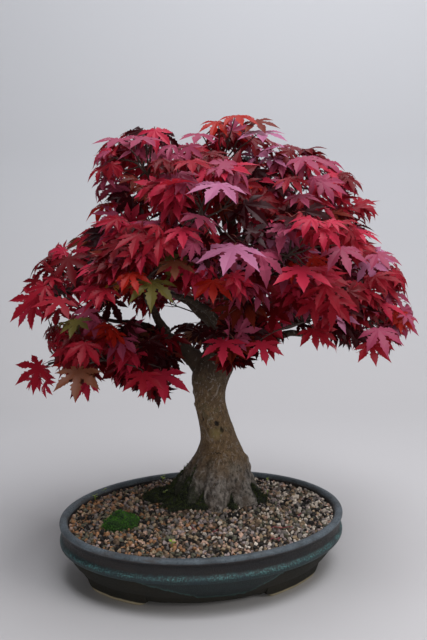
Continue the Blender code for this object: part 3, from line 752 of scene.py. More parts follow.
# Burls, scars and a crack: direction in degrees, height, half width and rise (+) or pit (-).
BURLS = (
    (186, 0.1795, 0.0034, 0.0016), (196, 0.1670, 0.0026, 0.0013), (172, 0.1880, 0.0036, 0.0014),
    (4, 0.1060, 0.0050, 0.0034), (8, 0.0960, 0.0055, 0.0034), (-130, 0.1530, 0.0018, -0.0022),
    (-81, 0.1497, 0.0042, 0.0012), (-81, 0.1497, 0.0020, -0.0040), (-64, 0.1408, 0.0038, 0.0010),
    (-68, 0.1420, 0.0020, -0.0034), (-80, 0.1370, 0.0030, 0.0010), (40, 0.1500, 0.0050, 0.0016),
    (120, 0.1400, 0.0050, 0.0014), (100, 0.1750, 0.0030, -0.0020), (-100, 0.1060, 0.0070, 0.0012),
)
# Damp, mossy sides of the foot: direction and half width in degrees, and how high.
DAMP = ((-162, 44, 0.100), (-4, 24, 0.090), (-68, 9, 0.080), (90, 60, 0.078))
CRACK_ANGLE, CRACK_HEIGHT, CRACK_HALF = -96, 0.1188, 9
CRACK_WIDTH, CRACK_DEPTH = 0.0007, 0.0012
# How far the bark's plates, its lumps and its grit stand out; then how much more low down.
PLATE_RISE, LUMP_RISE, GRIT_RISE = 0.00030, 0.0011, 0.00022
LOW_PLATE_RISE = 0.0017
DAMP_FADE = 0.022            # height over which a damp side dries
LICHEN_PLACE, LICHEN_REACH = (0.013, 0.014, 0.139), (0.0125, 0.0060)
OLD_BARK_TOP, YOUNG_BARK_TOP = 0.116, 0.050      # where grey bark gives way to brown
SHADE_FROM, SHADE_TO = 0.185, 0.235              # heights over which the crown shades it

# Boughs: what each grows from, where along it (0 to 1), its radius there, how far it
# sags (-) or rises (+) on its way, and the mass of foliage it carries.
BOUGHS = {
    "left_bough": ("trunk", 0.440, 0.0105, 0.012, "left_middle"),
    "right_bough": ("trunk", 0.455, 0.0090, 0.008, "right_middle"),
    "left_low_bough": ("left_bough", 0.55, 0.0042, -0.003, "left_low"),
    "left_front_bough": ("left_bough", 0.42, 0.0036, 0.003, "left_front_low"),
    "left_inner_bough": ("left_bough", 0.30, 0.0036, 0.001, "left_low_inner"),
    "left_shoulder_bough": ("left_bough", 0.50, 0.0048, -0.004, "left_shoulder"),
    "right_low_bough": ("right_bough", 0.50, 0.0042, -0.002, "right_low"),
    "right_front_bough": ("right_bough", 0.34, 0.0042, 0.006, "front_right_low"),
    "right_shoulder_bough": ("trunk", 0.640, 0.0050, 0.006, "right_shoulder"),
    "top_left_bough": ("trunk", 0.800, 0.0042, 0.004, "top_left"),
    "top_right_bough": ("trunk", 0.850, 0.0040, 0.004, "top_right"),
    "front_low_bough": ("trunk", 0.520, 0.0040, 0.012, "front_low"),
    "front_left_bough": ("trunk", 0.590, 0.0048, 0.006, "front_left"),
    "front_right_bough": ("trunk", 0.680, 0.0046, 0.006, "front_right"),
    "front_middle_bough": ("trunk", 0.636, 0.0038, 0.004, "front_middle"),
    "front_upper_bough": ("trunk", 0.760, 0.0042, 0.006, "front_upper"),
    "back_low_bough": ("trunk", 0.500, 0.0050, 0.010, "back_low"),
    "back_left_bough": ("trunk", 0.570, 0.0052, 0.008, "back_left"),
    "back_right_bough": ("trunk", 0.630, 0.0052, 0.008, "back_right"),
    "back_upper_bough": ("trunk", 0.730, 0.0044, 0.006, "back_upper"),
}
BOUGH_TIP = 0.0021           # radius where a bough enters its mass
BOUGH_SIDES, BOUGH_STEPS = 18, 64
BOUGH_COLLAR = 0.55          # how much a bough swells where it leaves its parent
BOUGH_WANDER, WANDER_SEEDS = 0.0032, ((0, 0, 0), (0, 3, 9), (5, 0, 4))
TRUNK_GIRTH = 0.012          # the trunk's radius where boughs leave it
TRUNK_CORE = 0.016           # its radius at the soil, as leaves and twigs keep clear of it

# Masses of foliage: middle (side, deep, height) and half sizes of each one's space.
MASSES = {
    "apex": ((0.016, 0.031, 0.406), (0.072, 0.065, 0.070)),
    "top_left": ((-0.054, 0.035, 0.407), (0.070, 0.065, 0.066)),
    "top_right": ((0.088, 0.028, 0.398), (0.072, 0.065, 0.063)),
    "left_shoulder": ((-0.083, 0.030, 0.345), (0.065, 0.065, 0.060)),
    "right_shoulder": ((0.134, 0.030, 0.348), (0.071, 0.065, 0.062)),
    "left_middle": ((-0.130, 0.020, 0.284), (0.078, 0.065, 0.062)),
    "right_middle": ((0.152, 0.030, 0.287), (0.072, 0.065, 0.060)),
    "left_low": ((-0.140, 0.018, 0.214), (0.072, 0.062, 0.054)),
    "left_front_low": ((-0.096, -0.032, 0.232), (0.062, 0.056, 0.050)),
    "left_low_inner": ((-0.052, 0.004, 0.212), (0.056, 0.052, 0.046)),
    "right_low": ((0.168, 0.018, 0.254), (0.070, 0.064, 0.048)),
    "front_right_low": ((0.096, -0.032, 0.276), (0.066, 0.060, 0.052)),
    "front_low": ((0.034, -0.028, 0.252), (0.056, 0.050, 0.048)),
    "front_upper": ((0.004, -0.052, 0.375), (0.078, 0.062, 0.060)),
    "front_right": ((0.076, -0.056, 0.337), (0.070, 0.062, 0.057)),
    "front_left": ((-0.052, -0.052, 0.315), (0.068, 0.060, 0.057)),
    "front_middle": ((0.018, -0.048, 0.312), (0.054, 0.056, 0.054)),
    "back_upper": ((0.010, 0.122, 0.377), (0.082, 0.068, 0.067)),
    "back_left": ((-0.086, 0.118, 0.303), (0.080, 0.068, 0.065)),
    "back_right": ((0.106, 0.118, 0.302), (0.080, 0.068, 0.065)),
    "back_low": ((0.012, 0.132, 0.246), (0.078, 0.062, 0.052)),
}


def bell(away):
    """A share that is whole at the middle of something and fades away from it."""
    return math.exp(-away ** 2)


def root_share(height):
    """How far a height is down the root flare, from 0 at its top to 1 at the soil."""
    return held((ROOT_TOP - height) / (ROOT_TOP - SOIL_LINE))


def girth(angle, height, radius):
    """The trunk's reach in a direction at a height, with its burls and its roots."""
    burl = 0.035 * math.cos(3 * angle + 40 * height) + 0.02 * math.sin(5 * angle - 55 * height)
    reach = 0.0
    for middle, half, root in ROOTS:
        reach += root * bell(short_way(math.degrees(angle) - middle) / half)
    return radius * (1.0 + burl) + reach * root_share(height) ** 2


def furrowed(point, along, fineness):
    """Long furrows of bark, from -1 in a furrow to 1 on a plate."""
    drawn = Vector((point.x * 165, point.y * 165, along * 92)) * fineness
    swirl = point * 60
    drawn += 1.8 * Vector([noise.noise(swirl + Vector((s, 0, -s))) for s in (0, 31, 67)])
    broad = 1 - 2.2 * abs(noise.noise(drawn))
    fine = 1 - 2.2 * abs(noise.noise(drawn * 2.3 + Vector((9, 4, 1))))
    return 0.65 * broad + 0.35 * fine


def trunk_relief(degrees, height, place, radius):
    """How far the bark stands out at a place on the trunk, and how high its plates are, painted
    shade and highlight added.
    """
    low = root_share(height)
    rise = pit = 0.0
    for middle, half, reach in FURROWS:
        wander = 14 * noise.noise(Vector((middle, height * 26, 0)))
        away = short_way(degrees - middle - wander)
        if abs(away) < 3 * half:
            rise += reach * bell(away / half) * low ** 1.2
    for middle, level, half, reach in BURLS:
        across = math.radians(short_way(degrees - middle)) * radius
        far = (across / half) ** 2 + ((height - level) / (half * 1.15)) ** 2
        if far < 9:
            rise += reach * math.exp(-far * 1.4)
            # pits and scars darken with painted shade
            pit += max(-reach, 0.0) * 900 * math.exp(-far * 1.2)
    # painted shade in the hollows between roots, painted highlight on their ridges
    hollow_shade_ridge_highlight = (250 * min(rise, 0.0) + 120 * max(rise, 0.0)) * low
    plates = furrowed(place, height, 1.0)
    rise += plates * (PLATE_RISE + LOW_PLATE_RISE * low)
    rise += LUMP_RISE * noise.noise(place * 70) * (0.45 + low)
    rise += GRIT_RISE * noise.noise(place * 700)
    away = short_way(degrees - CRACK_ANGLE)
    if abs(away) < CRACK_HALF:
        wave = CRACK_HEIGHT + 0.0006 * math.sin(away * 0.7)
        crack = bell((height - wave) / CRACK_WIDTH)
        rise -= CRACK_DEPTH * crack
        # painted shade in the crack
        pit += 1.6 * crack
    return rise, plates + hollow_shade_ridge_highlight - pit


def trunk_at(height, rows=TRUNK):
    """The trunk's shift to the side and its radius at a height."""
    levels, *lines = zip(*rows)
    return [float(np.interp(height, levels, values)) for values in lines]


def damp_at(degrees, height):
    """How damp the trunk is at a place."""
    return max(
        math.exp(-(short_way(degrees - middle) / half) ** 4) * held((top - height) / DAMP_FADE)
        for middle, half, top in DAMP
    )


def make_trunk(finish):
    """The trunk with its root flare and its leader, ring by ring."""
    rows = flowing(TRUNK, 6)
    rings, plates, damp = [], [], []
    for height in np.concatenate([np.arange(*span) for span in TRUNK_LEVELS]).tolist():
        side, radius = trunk_at(height, rows)
        ring = []
        for angle in turns(TRUNK_SIDES):
            way = level_way(angle)
            reach = girth(angle, max(height, SOIL_LINE), radius)
            place = Vector((side, TRUNK_DEEP, height)) + way * reach
            rise, plate_and_shading = trunk_relief(math.degrees(angle), height, place, radius)
            ring.append(tree_place(*(place + way * rise * min(1.0, radius / 0.010))))
            plates.append(plate_and_shading)
            damp.append(damp_at(math.degrees(angle), height))
        rings.append(ring)
    trunk = add_piece("trunk_bark", make_mesh("trunk_bark", *lofted(rings)), finish,
                      smooth=BARK_SMOOTH)
    # The plates mark carries the bark's plates with painted shade and painted highlight added.
    marked(trunk, "plates", plates)
    marked(trunk, "damp", damp)
    return trunk


def along_curve(curve, share):
    """Point at a share of the way along a limb's centre line."""
    place = share * (len(curve) - 1)
    step = min(int(place), len(curve) - 2)
    return curve[step].lerp(curve[step + 1], place - step)


def trunk_line():
    """Centre line of the trunk, evenly spaced in height."""
    heights = np.linspace(TRUNK[0][0], TRUNK[-1][0], 60).tolist()
    return [Vector((trunk_at(height)[0], TRUNK_DEEP, height)) for height in heights]


def bent_line(start, end, rise, steps):
    """A smooth limb line from start to end that rises (+) or sags (-) between them."""
    middle = (start + end) / 2 + Vector((0, 0, rise * 2))
    shares = [i / (steps - 1) for i in range(steps)]
    return [start * (1 - t) ** 2 + middle * (2 * t * (1 - t)) + end * t ** 2 for t in shares]


def entry_point(start, mass):
    """Where a bough that comes from start enters the space of its mass."""
    centre, half = (Vector(values) for values in MASSES[mass])
    way = centre - start
    scaled = Vector((way.x / half.x, way.y / half.y, way.z / half.z))
    return centre - way * min(0.72 / scaled.length, 0.75)


def crooked(line, amount, salt):
    """A limb line that wanders a little between its two ends, as wood grows."""
    wandered = []
    for i, point in enumerate(line):
        t = i / (len(line) - 1)
        free = min(1.0, 4 * t) * min(1.0, 4 * (1 - t))
        seed = Vector((t * 4.5, salt * 7.3, 0))
        drift = Vector([noise.noise(seed + Vector(shift)) for shift in WANDER_SEEDS])
        wandered.append(point + drift * amount * free)
    return wandered


def crosswise(line, side):
    """Each point of a line with two directions across it, led along without a twist."""
    for i, point in enumerate(line):
        ahead = (line[min(i + 1, len(line) - 1)] - line[max(i - 1, 0)]).normalized()
        side = (side - ahead * side.dot(ahead)).normalized()
        yield point, side, ahead.cross(side)


def limb_rings(line, radii, sides, relief=None):
    """Rings of a limb along its centre line in the pot's axes, and its bark's plates."""
    rings, plates = [], []
    walked, last = 0.0, line[0]
    first_side = Vector((0, 0, 1)).cross(line[1] - line[0])
    for radius, (point, side, over) in zip(radii, crosswise(line, first_side)):
        walked += (point - last).length
        last = point
        ring = []
        for angle in turns(sides):
            way = side * math.cos(angle) + over * math.sin(angle)
            reach = radius
            if relief:
                rise, plate_and_shading = relief(point + way * radius, way * radius, walked, radius)
                reach += rise
                plates.append(plate_and_shading)
            ring.append(tree_place(*(point + way * reach)))
        rings.append(ring)
    return rings, plates


def bough_relief(place, away, walked, radius):
    """Thin bark of a bough: faint furrows, rings and lumps."""
    plates = furrowed(away + Vector((walked, 0, 0)) * 0.2, walked, 1.5)
    nodes = math.exp(-((walked * 55) % 1.0 - 0.5) ** 2 / 0.006)
    rise = plates * 0.045 + 0.16 * noise.noise(place * 130) + 0.10 * nodes
    return rise * radius, plates


def gather(points, faces, more_points, more_faces):
    """Add a shape to the points and faces gathered so far."""
    first = len(points)
    points.extend(more_points)
    faces.extend(tuple(first + i for i in face) for face in more_faces)


def bough_radii(line, root, parent):
    """A bough's radii along its line, with the collar where it leaves its parent."""
    length = sum((b - a).length for a, b in zip(line, line[1:]))
    parent_radius = BOUGHS[parent][2] if parent in BOUGHS else TRUNK_GIRTH
    radii = []
    for i in range(BOUGH_STEPS):
        t = i / (BOUGH_STEPS - 1)
        collar = BOUGH_COLLAR * math.exp(-(max(t * length - parent_radius, 0.0) / 0.006))
        radii.append((BOUGH_TIP + (root - BOUGH_TIP) * (1 - t) ** 0.85) * (1 + collar * 0.6))
    return radii


def make_boughs(finish):
    """Every bough from its parent's axis into its mass, and the centre lines of all."""
    lines = {"trunk": trunk_line()}
    points, faces, plates = [], [], []
    for number, (name, (parent, share, root, rise, mass)) in enumerate(BOUGHS.items()):
        start = along_curve(lines[parent], share)
        line = bent_line(start, entry_point(start, mass), rise, BOUGH_STEPS)
        lines[name] = crooked(line, BOUGH_WANDER, number)
        radii = bough_radii(line, root, parent)
        rings, bark = limb_rings(lines[name], radii, BOUGH_SIDES, bough_relief)
        gather(points, faces, *lofted(rings))
        plates += bark
    boughs = add_piece("bough_bark", make_mesh("bough_bark", points, faces), finish,
                       smooth=BARK_SMOOTH)
    marked(boughs, "plates", plates)
    return boughs, lines


def bark_finish(name, old_top, lichen):
    """Maple bark: tan and brown above, grey and furrowed near the soil."""
    finish, shader = new_finish(name, roughness=0.86)
    place = place_on(shader)
    height = height_of(place)
    plates = mark_on(shader, "plates")
    streaks = long_grain(place, (290, 290, 175), 4.0, 0.65)
    patches = grain(place, 75, 3.0, 0.6, 0.6)
    pores = grain(place, 900, 3.0, 0.7)

    brown = layered(
        (0.088, 0.052, 0.025), (streaks, 0.38, 0.66, (0.235, 0.146, 0.070)),
        (patches, 0.50, 0.66, (0.140, 0.088, 0.044), 0.8),
        (patches, 0.46, 0.34, (0.112, 0.090, 0.044), 0.7),
        (pores, 0.56, 0.66, (0.285, 0.210, 0.125), 0.6),
        (pores, 0.42, 0.32, (0.030, 0.020, 0.012), 0.8),
    )
    grey = layered(
        (0.026, 0.021, 0.017), (streaks, 0.36, 0.62, (0.265, 0.235, 0.208)),
        (patches, 0.47, 0.60, (0.115, 0.086, 0.064), 0.7),
        (pores, 0.60, 0.72, (0.480, 0.450, 0.420), 0.6),
    )
    # Grey at the foot, dark above in the crown's painted shade, darker in furrows, hollows,
    # pits and the crack, partly the bark's colour and partly painted shade, and pale on plates
    # and root ridges as a painted highlight.
    bark = layered(
        brown, (plus(height, times(patches, 0.030)), old_top + 0.014, old_top - 0.014, grey),
        (plus(height, times(patches, 0.04)), SHADE_FROM, SHADE_TO, (0.022, 0.011, 0.006), 0.90),
        (plus(plates, times(pores, 0.8)), 0.45, -0.15, (0.012, 0.009, 0.006), 0.92),
        (plus(plates, times(pores, 0.5)), 0.95, 1.45, (0.520, 0.485, 0.450), 0.65),
    )
    if lichen:
        spot = beside(place, "ShaderNodeVectorMath")
        spot.operation = "DISTANCE"
        fed(spot, _0=place, _1=tree_place(*LICHEN_PLACE))
        ragged = plus(spot.outputs["Value"], times(pores, 0.008))
        damp = plus(mark_on(shader, "damp"), from_to(patches, 0.35, 0.65, -0.25, 0.25))
        damp = plus(damp, from_to(pores, 0.35, 0.65, -0.2, 0.2))
        green = layered((0.006, 0.010, 0.003), (pores, 0.50, 0.68, (0.045, 0.060, 0.018)))
        bark = layered(
            bark, (ragged, *LICHEN_REACH, (0.235, 0.185, 0.060), 0.60),
            (damp, 0.30, 0.75, green, 0.90),
        )
    fed(shader, Base_Color=bark)
    bumped(shader, plus(streaks, times(pores, 0.6)), 0.90, 0.0016)
    return finish


trunk_bark = make_trunk(bark_finish("old maple bark", OLD_BARK_TOP, lichen=True))
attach(trunk_bark, "root")
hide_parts("trunk")

bough_bark, limb_lines = make_boughs(bark_finish("young maple bark", YOUNG_BARK_TOP, lichen=False))
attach(bough_bark, "root")
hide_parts(*BOUGHS)


# Moss, weeds and litter --------------------------------------------------------------
# One bright cushion of moss set into the gravel, dark damp moss that creeps over the
# surface roots, a few seedlings, and red leaf stalks that have dropped on the stones.

MOSS_LOW, MOSS_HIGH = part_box("moss_cushion")
TUFT_SPACING, TUFT_SIZE = 0.00090, 0.00155
TUFTS, TUFT_BLADES = 5, 4
CUSHION_RINGS, CUSHION_SIDES = 14, 48
CUSHION_SINK, CUSHION_SWELL = 0.0015, 0.0024     # its pad's edge below, its top above its solid
CREEP_SPACING, CREEP_SIZE = 0.00130, 0.00200

# Damp moss on the roots: direction in degrees, half width, how far up it creeps, how far
# out over the stones.
CREEPS = (
    (178, 34, 0.030, 0.024), (-148, 28, 0.032, 0.016), (-118, 16, 0.018, 0.010),
    (-66, 8, 0.014, 0.006), (-10, 18, 0.018, 0.012), (60, 30, 0.012, 0.010),
    (120, 26, 0.012, 0.010),
)
CREEP_ROWS, CREEP_STEPS = 14, 26
CREEP_FOOT = 0.0630          # height at which it leaves the stones for the trunk
CREEP_EDGE = (0.0640, 0.0390)            # height and radius of the trunk's foot beside it
CREEP_SWELL = 0.0058         # how high it lies on the stones

# Seedlings: place (side, deep) and height; then each of their leaves' cross sections as
# how far out, how wide and how high it lies, in leaf sizes.
SEEDLINGS = (
    (-0.0290, -0.0850, 0.0075), (-0.0481, 0.0900, 0.0070), (-0.0418, 0.0240, 0.0080),
    (-0.1120, 0.0560, 0.0060), (-0.1200, 0.0420, 0.0055), (0.0730, 0.0880, 0.0050),
    (0.0440, 0.0080, 0.0045), (0.0700, 0.0420, 0.0040),
)
SEED_LEAF = ((0, 0.06, 0), (0.35, 0.42, 0.22), (0.75, 0.40, 0.38), (1.1, 0.05, 0.36))
SEEDLING_STEM = 0.0003
# Dropped leaf stalks: one end (side, deep), its direction in degrees and its length.
STALKS = (
    (0.068, -0.052, 6, 0.022), (0.066, -0.073, 14, 0.010), (0.074, -0.075, 80, 0.006),
    (0.010, -0.066, 40, 0.007), (-0.008, -0.060, 120, 0.006), (0.098, -0.020, 60, 0.008),
)
STALK_POINTS, FALLEN_RADIUS = 9, 0.00042


def moss_finish(name, dark, light):
    """Moss: dull, soft and darker between its tufts."""
    finish, shader = new_finish(name, roughness=0.9)
    place = place_on(shader)
    tint = layered(dark, (grain(place, 210, 3.0, 0.6), 0.35, 0.68, light))
    fed(shader, Base_Color=tint, Sheen_Weight=0.06)
    bumped(shader, grain(place, 1800, 2.0, 0.6), 0.6, 0.0005)
    return finish


def moss_tufts():
    """A collection of tufts: a few tapering blades that lean outwards from one root."""
    chance = random.Random(21)
    tufts = bpy.data.collections.new("moss tufts")
    blade_faces = ((0, 1, 2), (0, 3, 1), (1, 4, 2), (2, 4, 0), (3, 4, 1), (0, 4, 3))
    for number in range(TUFTS):
        points, faces = [], []
        for blade in range(TUFT_BLADES):
            turn = math.tau * blade / TUFT_BLADES + chance.uniform(-0.5, 0.5)
            lean = chance.uniform(0.25, 0.75)
            way = level_way(turn)
            side = Vector((-way.y, way.x, 0)) * 0.26
            root = way * 0.12
            tip = way * lean + Vector((0, 0, chance.uniform(0.75, 1.15)))
            middle = root.lerp(tip, 0.45) + way * 0.05
            corners = (root - side, root + side, middle + way * 0.16, middle - way * 0.10, tip)
            gather(points, faces, corners, blade_faces)
        mesh = make_mesh(f"tuft_{number}", points, faces, facing_out=False)
        tufts.objects.link(bpy.data.objects.new(mesh.name, mesh))
    return tufts


def cushion_mesh():
    """The domed pad that the tufts of the cushion stand on."""
    middle = (Vector(MOSS_LOW) + Vector(MOSS_HIGH)) / 2
    half_x, half_y = (MOSS_HIGH[0] - MOSS_LOW[0]) / 2, (MOSS_HIGH[1] - MOSS_LOW[1]) / 2
    rise = MOSS_HIGH[2] - MOSS_LOW[2] + CUSHION_SWELL
    rings = []
    for k in range(CUSHION_RINGS):
        slope = math.pi / 2 * k / CUSHION_RINGS
        ring = []
        for turn in turns(CUSHION_SIDES):
            way = level_way(turn)
            lump = 1 + 0.16 * noise.noise(way * 1.7 + Vector((0, 0, slope)))
            reach = math.cos(slope) * lump
            x, y = middle.x + half_x * way.x * reach, middle.y + half_y * way.y * reach
            swell = 0.86 + 0.30 * noise.noise(Vector((x, y, 0)) * 90)
            top = rise * math.sin(slope) ** 0.8 * swell
            ring.append(Vector((x, y, MOSS_LOW[2] - CUSHION_SINK + top)))
        rings.append(ring)
    return make_mesh("moss_pad", *lofted(rings))


def creeping_spot(creep, across, up, rows):
    """A place on a patch of creeping moss: across it, and up from its edge to its top."""
    middle, half, climb, spread = creep
    degrees = middle + across * half * (1 - 0.5 * up)
    angle = math.radians(degrees)
    rag = noise.noise(Vector((degrees * 0.12, up * 2, middle)))
    if up < 0.5:
        # out over the gravel, from the far edge to the trunk's foot
        reach = girth(angle, *CREEP_EDGE)
        reach += (0.5 - up) * 2 * spread * (1 + 0.6 * rag) * (1 - across ** 2)
        spot = tree_place(TRUNK[0][1] + reach * math.cos(angle),
                          TRUNK_DEEP + reach * math.sin(angle), 0)
        lump = 1 + 0.8 * noise.noise(spot * 150)
        swell = CREEP_SWELL * lump * math.sqrt(2 * up) * (1 - across ** 4)
        spot.z = soil_height(spot) + swell - 0.0004
        return spot
    height = CREEP_FOOT + (up - 0.5) * 2 * climb * (1 + 0.8 * rag) * (1 - across ** 2)
    side, radius = trunk_at(height, rows)
    reach = girth(angle, height, radius)
    way = level_way(angle)
    place = Vector((side, TRUNK_DEEP, height)) + way * reach
    reach += trunk_relief(degrees, height, place, radius)[0] + 0.0002
    return tree_place(side + reach * way.x, TRUNK_DEEP + reach * way.y, height)


def creeping_bed():
    """The patches of trunk and soil that damp moss creeps over."""
    rows = flowing(TRUNK, 6)
    points, faces = [], []
    for creep in CREEPS:
        patch = [creeping_spot(creep, 2 * k / (CREEP_STEPS - 1) - 1, r / (CREEP_ROWS - 1), rows)
                 for r in range(CREEP_ROWS) for k in range(CREEP_STEPS)]
        squares = [(a, a + 1, a + CREEP_STEPS + 1, a + CREEP_STEPS)
                   for a in range((CREEP_ROWS - 1) * CREEP_STEPS) if (a + 1) % CREEP_STEPS]
        gather(points, faces, patch, squares)
    return make_mesh("creeping_bed", points, faces, facing_out=False)


def seedling_mesh():
    """Seedlings: a thin stem with four small round leaves each."""
    chance = random.Random(5)
    points, faces = [], []
    for side, deep, tall in SEEDLINGS:
        foot = tree_place(side, deep, 0)
        foot.z = soil_height(foot)
        for leaf in range(4):
            way = level_way(leaf * 1.9 + chance.uniform(-0.4, 0.4))
            across = Vector((-way.y, way.x, 0))
            start = foot + Vector((0, 0, tall * (0.35 + 0.18 * leaf)))
            size = tall * chance.uniform(0.38, 0.52)
            blade = [
                start + way * out * size + across * wide * size * half + Vector((0, 0, up * size))
                for out, wide, up in SEED_LEAF for half in (-1, 1)
            ]
            gather(points, faces, blade, [(a, a + 1, a + 3, a + 2) for a in (0, 2, 4)])
        stem = [end + Vector((SEEDLING_STEM * math.cos(a), SEEDLING_STEM * math.sin(a), 0))
                for end in (foot - Vector((0, 0, 0.002)), foot + Vector((0, 0, tall * 0.9)))
                for a in (0, 2.1, 4.2)]
        walls = [(0, 1, 4, 3), (1, 2, 5, 4), (2, 0, 3, 5)]
        gather(points, faces, stem, walls + [(2, 1, 0), (3, 4, 5)])
    return make_mesh("seedlings", points, faces, facing_out=False)


def stalk_mesh():
    """Dropped leaf stalks, each lying on the stones with a slight bend."""
    points, faces = [], []
    for side, deep, direction, length in STALKS:
        turn = math.radians(direction)
        line = []
        for k in range(STALK_POINTS):
            t = k / (STALK_POINTS - 1)
            bend = 0.12 * length * math.sin(math.pi * t)
            spot = (side + length * t * math.cos(turn) - bend * math.sin(turn),
                    deep + length * t * math.sin(turn) + bend * math.cos(turn))
            level = soil_height(tree_place(*spot, 0)) + 0.0030 + 0.0008 * math.sin(9 * t)
            line.append(Vector((*spot, level)))
        rings, _ = limb_rings(line, [FALLEN_RADIUS] * STALK_POINTS, 5)
        gather(points, faces, *lofted(rings))
    return make_mesh("fallen_stalks", points, faces)


bright_moss = moss_finish("bright moss", (0.008, 0.050, 0.002), (0.100, 0.300, 0.024))
damp_moss = moss_finish("damp moss", (0.003, 0.007, 0.002), (0.062, 0.085, 0.016))
moss_thatch = moss_finish("moss thatch", (0.004, 0.020, 0.002), (0.020, 0.060, 0.006))
moss_earth = moss_finish("moss earth", (0.002, 0.004, 0.001), (0.010, 0.016, 0.004))
seedling_green, _ = new_finish("seedling green", (0.300, 0.420, 0.040), 0.55)
dry_red, _ = new_finish("dry red stalk", (0.230, 0.030, 0.045), 0.6)

tufts = moss_tufts()
moss_pad = add_piece("moss_pad", cushion_mesh(), moss_thatch)
cushion_tufts = strew(
    "moss_tufts", moss_pad.data, strewn_tree, spacing=TUFT_SPACING, size=TUFT_SIZE,
    size_spread=0.35, tumble=0.45, seed=3, shapes=tufts, finish=bright_moss,
)
creep_bed = creeping_bed()
creeping_moss = strew(
    "creeping_moss", creep_bed, strewn_tree, spacing=CREEP_SPACING, size=CREEP_SIZE,
    size_spread=0.40, tumble=0.55, seed=6, shapes=tufts, finish=damp_moss,
)
moss_bed = add_piece("moss_bed", creep_bed, moss_earth)
empty_out(tufts)
seedlings = add_piece("seedlings", seedling_mesh(), seedling_green, smooth=50)
fallen_stalks = add_piece("fallen_stalks", stalk_mesh(), dry_red)
for piece in (moss_pad, cushion_tufts):
    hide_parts("moss_cushion")
for piece in (moss_pad, cushion_tufts, moss_bed, creeping_moss, seedlings):
    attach(piece, "root")
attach(fallen_stalks, "root")


# Twigs and leaves --------------------------------------------------------------------
# Red maple leaves of five to seven lance-shaped lobes, cut deep and finely toothed, hang
# in pairs on thin red stalks from fine dark twigs.  The twigs grow on from each bough's
# tip by the rule that grew the solids, and each spray of leaves has its own tint: autumn
# tints, with painted sheen high and to the right and painted shade deep inside.

LEAF_LENGTH = 0.0305         # the middle lobe, from the blade's heart to its tip
LEAF_SPREAD = (0.66, 1.24)   # smallest and largest leaf, as a share of that
STALK_LENGTH, STALK_SPREAD = 0.42, (0.7, 1.4)      # in leaf lengths, and shares of that
STALK_RADIUS = 0.00030
LEAF_RISE, LEAF_FALL = 0.25, 0.50        # share of its aim's slope that it keeps, and its hang
LEAF_GLOW, LEAF_SHINE = 0.16, 0.14       # light let through, and light thrown back
LEAF_STRAY, LEAF_TILT = 0.18, 0.16       # how far its heading and its face stray
LEAF_TRIES, SMALLER = 12, 0.025          # each try is smaller than the first by this share
LEAF_VARIANTS, LEAST_DROOP = 12, 0.15
TWIG_RADIUS, TWIG_TIP = 0.0011, 0.00045
TWIGS_PER_MASS = 50          # in a mass of the usual half size
USUAL_SIZE = 0.062
SIDE_TWIGS = ((0.45, -1), (0.65, 1), (0.30, 1), (0.80, -1))     # where they leave, which side
# Pairs of leaves on a twig below its tip's, and on a side twig: where, and their turn.
LEAF_PAIRS, SIDE_PAIRS = ((0.80, 1.4), (0.58, 0.2), (0.38, 1.2)), ((0.98, 0.1), (0.62, 1.4))
TWIG_POINTS, TWIG_SAG = 7, 0.05          # of its line, and how far it bends, as a share
TWIG_WANDER = 0.0022
STEM_SIDES, TWIG_SIDES, STALK_SIDES = 8, 5, 3
WOOD_SMOOTH, LEAF_SMOOTH = 60, 24        # degrees
REACHES = ((0.60, 0.48, 0.36), (0.90, 0.80, 0.70, 0.58))       # tried by inner and outer twigs
SHORTEST_TWIG = 0.010
BACKWARDS = -0.86            # twigs that would grow back along their bough are left out
CLEARANCE = 0.0004
REACH_OVER = 0.018           # how far leaves may reach past the solids, as a share of a side
TIP_ROOM = 0.50              # leaf lengths that a twig's tip leaves free to the outline
SPACE_POWER = 2.4            # 2 makes a mass's space an ellipsoid, more a rounder box
SPACE_REACH = 1.08
CROWN_HEART = Vector((0.015, 0.040, 0.285))      # leaves face away from here
CROWN_HALF = (0.20, 0.14, 0.17)
TINT_RISE, TINT_DEEP, TINT_FADE = 0.16, 0.80, 0.32      # how tints change upwards (painted sheen) and inwards (painted shade)
SEED = 42

# Lobes of a leaf: direction in degrees, length and half width; then the notch after each.
LOBES = ((0, 1.00, 0.172), (43, 0.93, 0.160), (86, 0.68, 0.128), (130, 0.27, 0.070))
NOTCHES = ((21, 0.27), (64, 0.22), (109, 0.13), (180, 0.05))
# Along a lobe's edge: share of its length, share of its width; the teeth point forwards.
LOBE_EDGE = ((0.37, 0.66), (0.50, 0.98), (0.63, 0.88), (0.76, 0.54), (0.88, 0.20))
RIB_INNER, RIB_OUTER = 0.50, 0.76        # where the edge's middle parts end on the midrib
TOOTH_STEP, TOOTH_DEPTH = 0.030, 0.27
FOLD = 0.26                  # how much a lobe's halves tilt up from its midrib

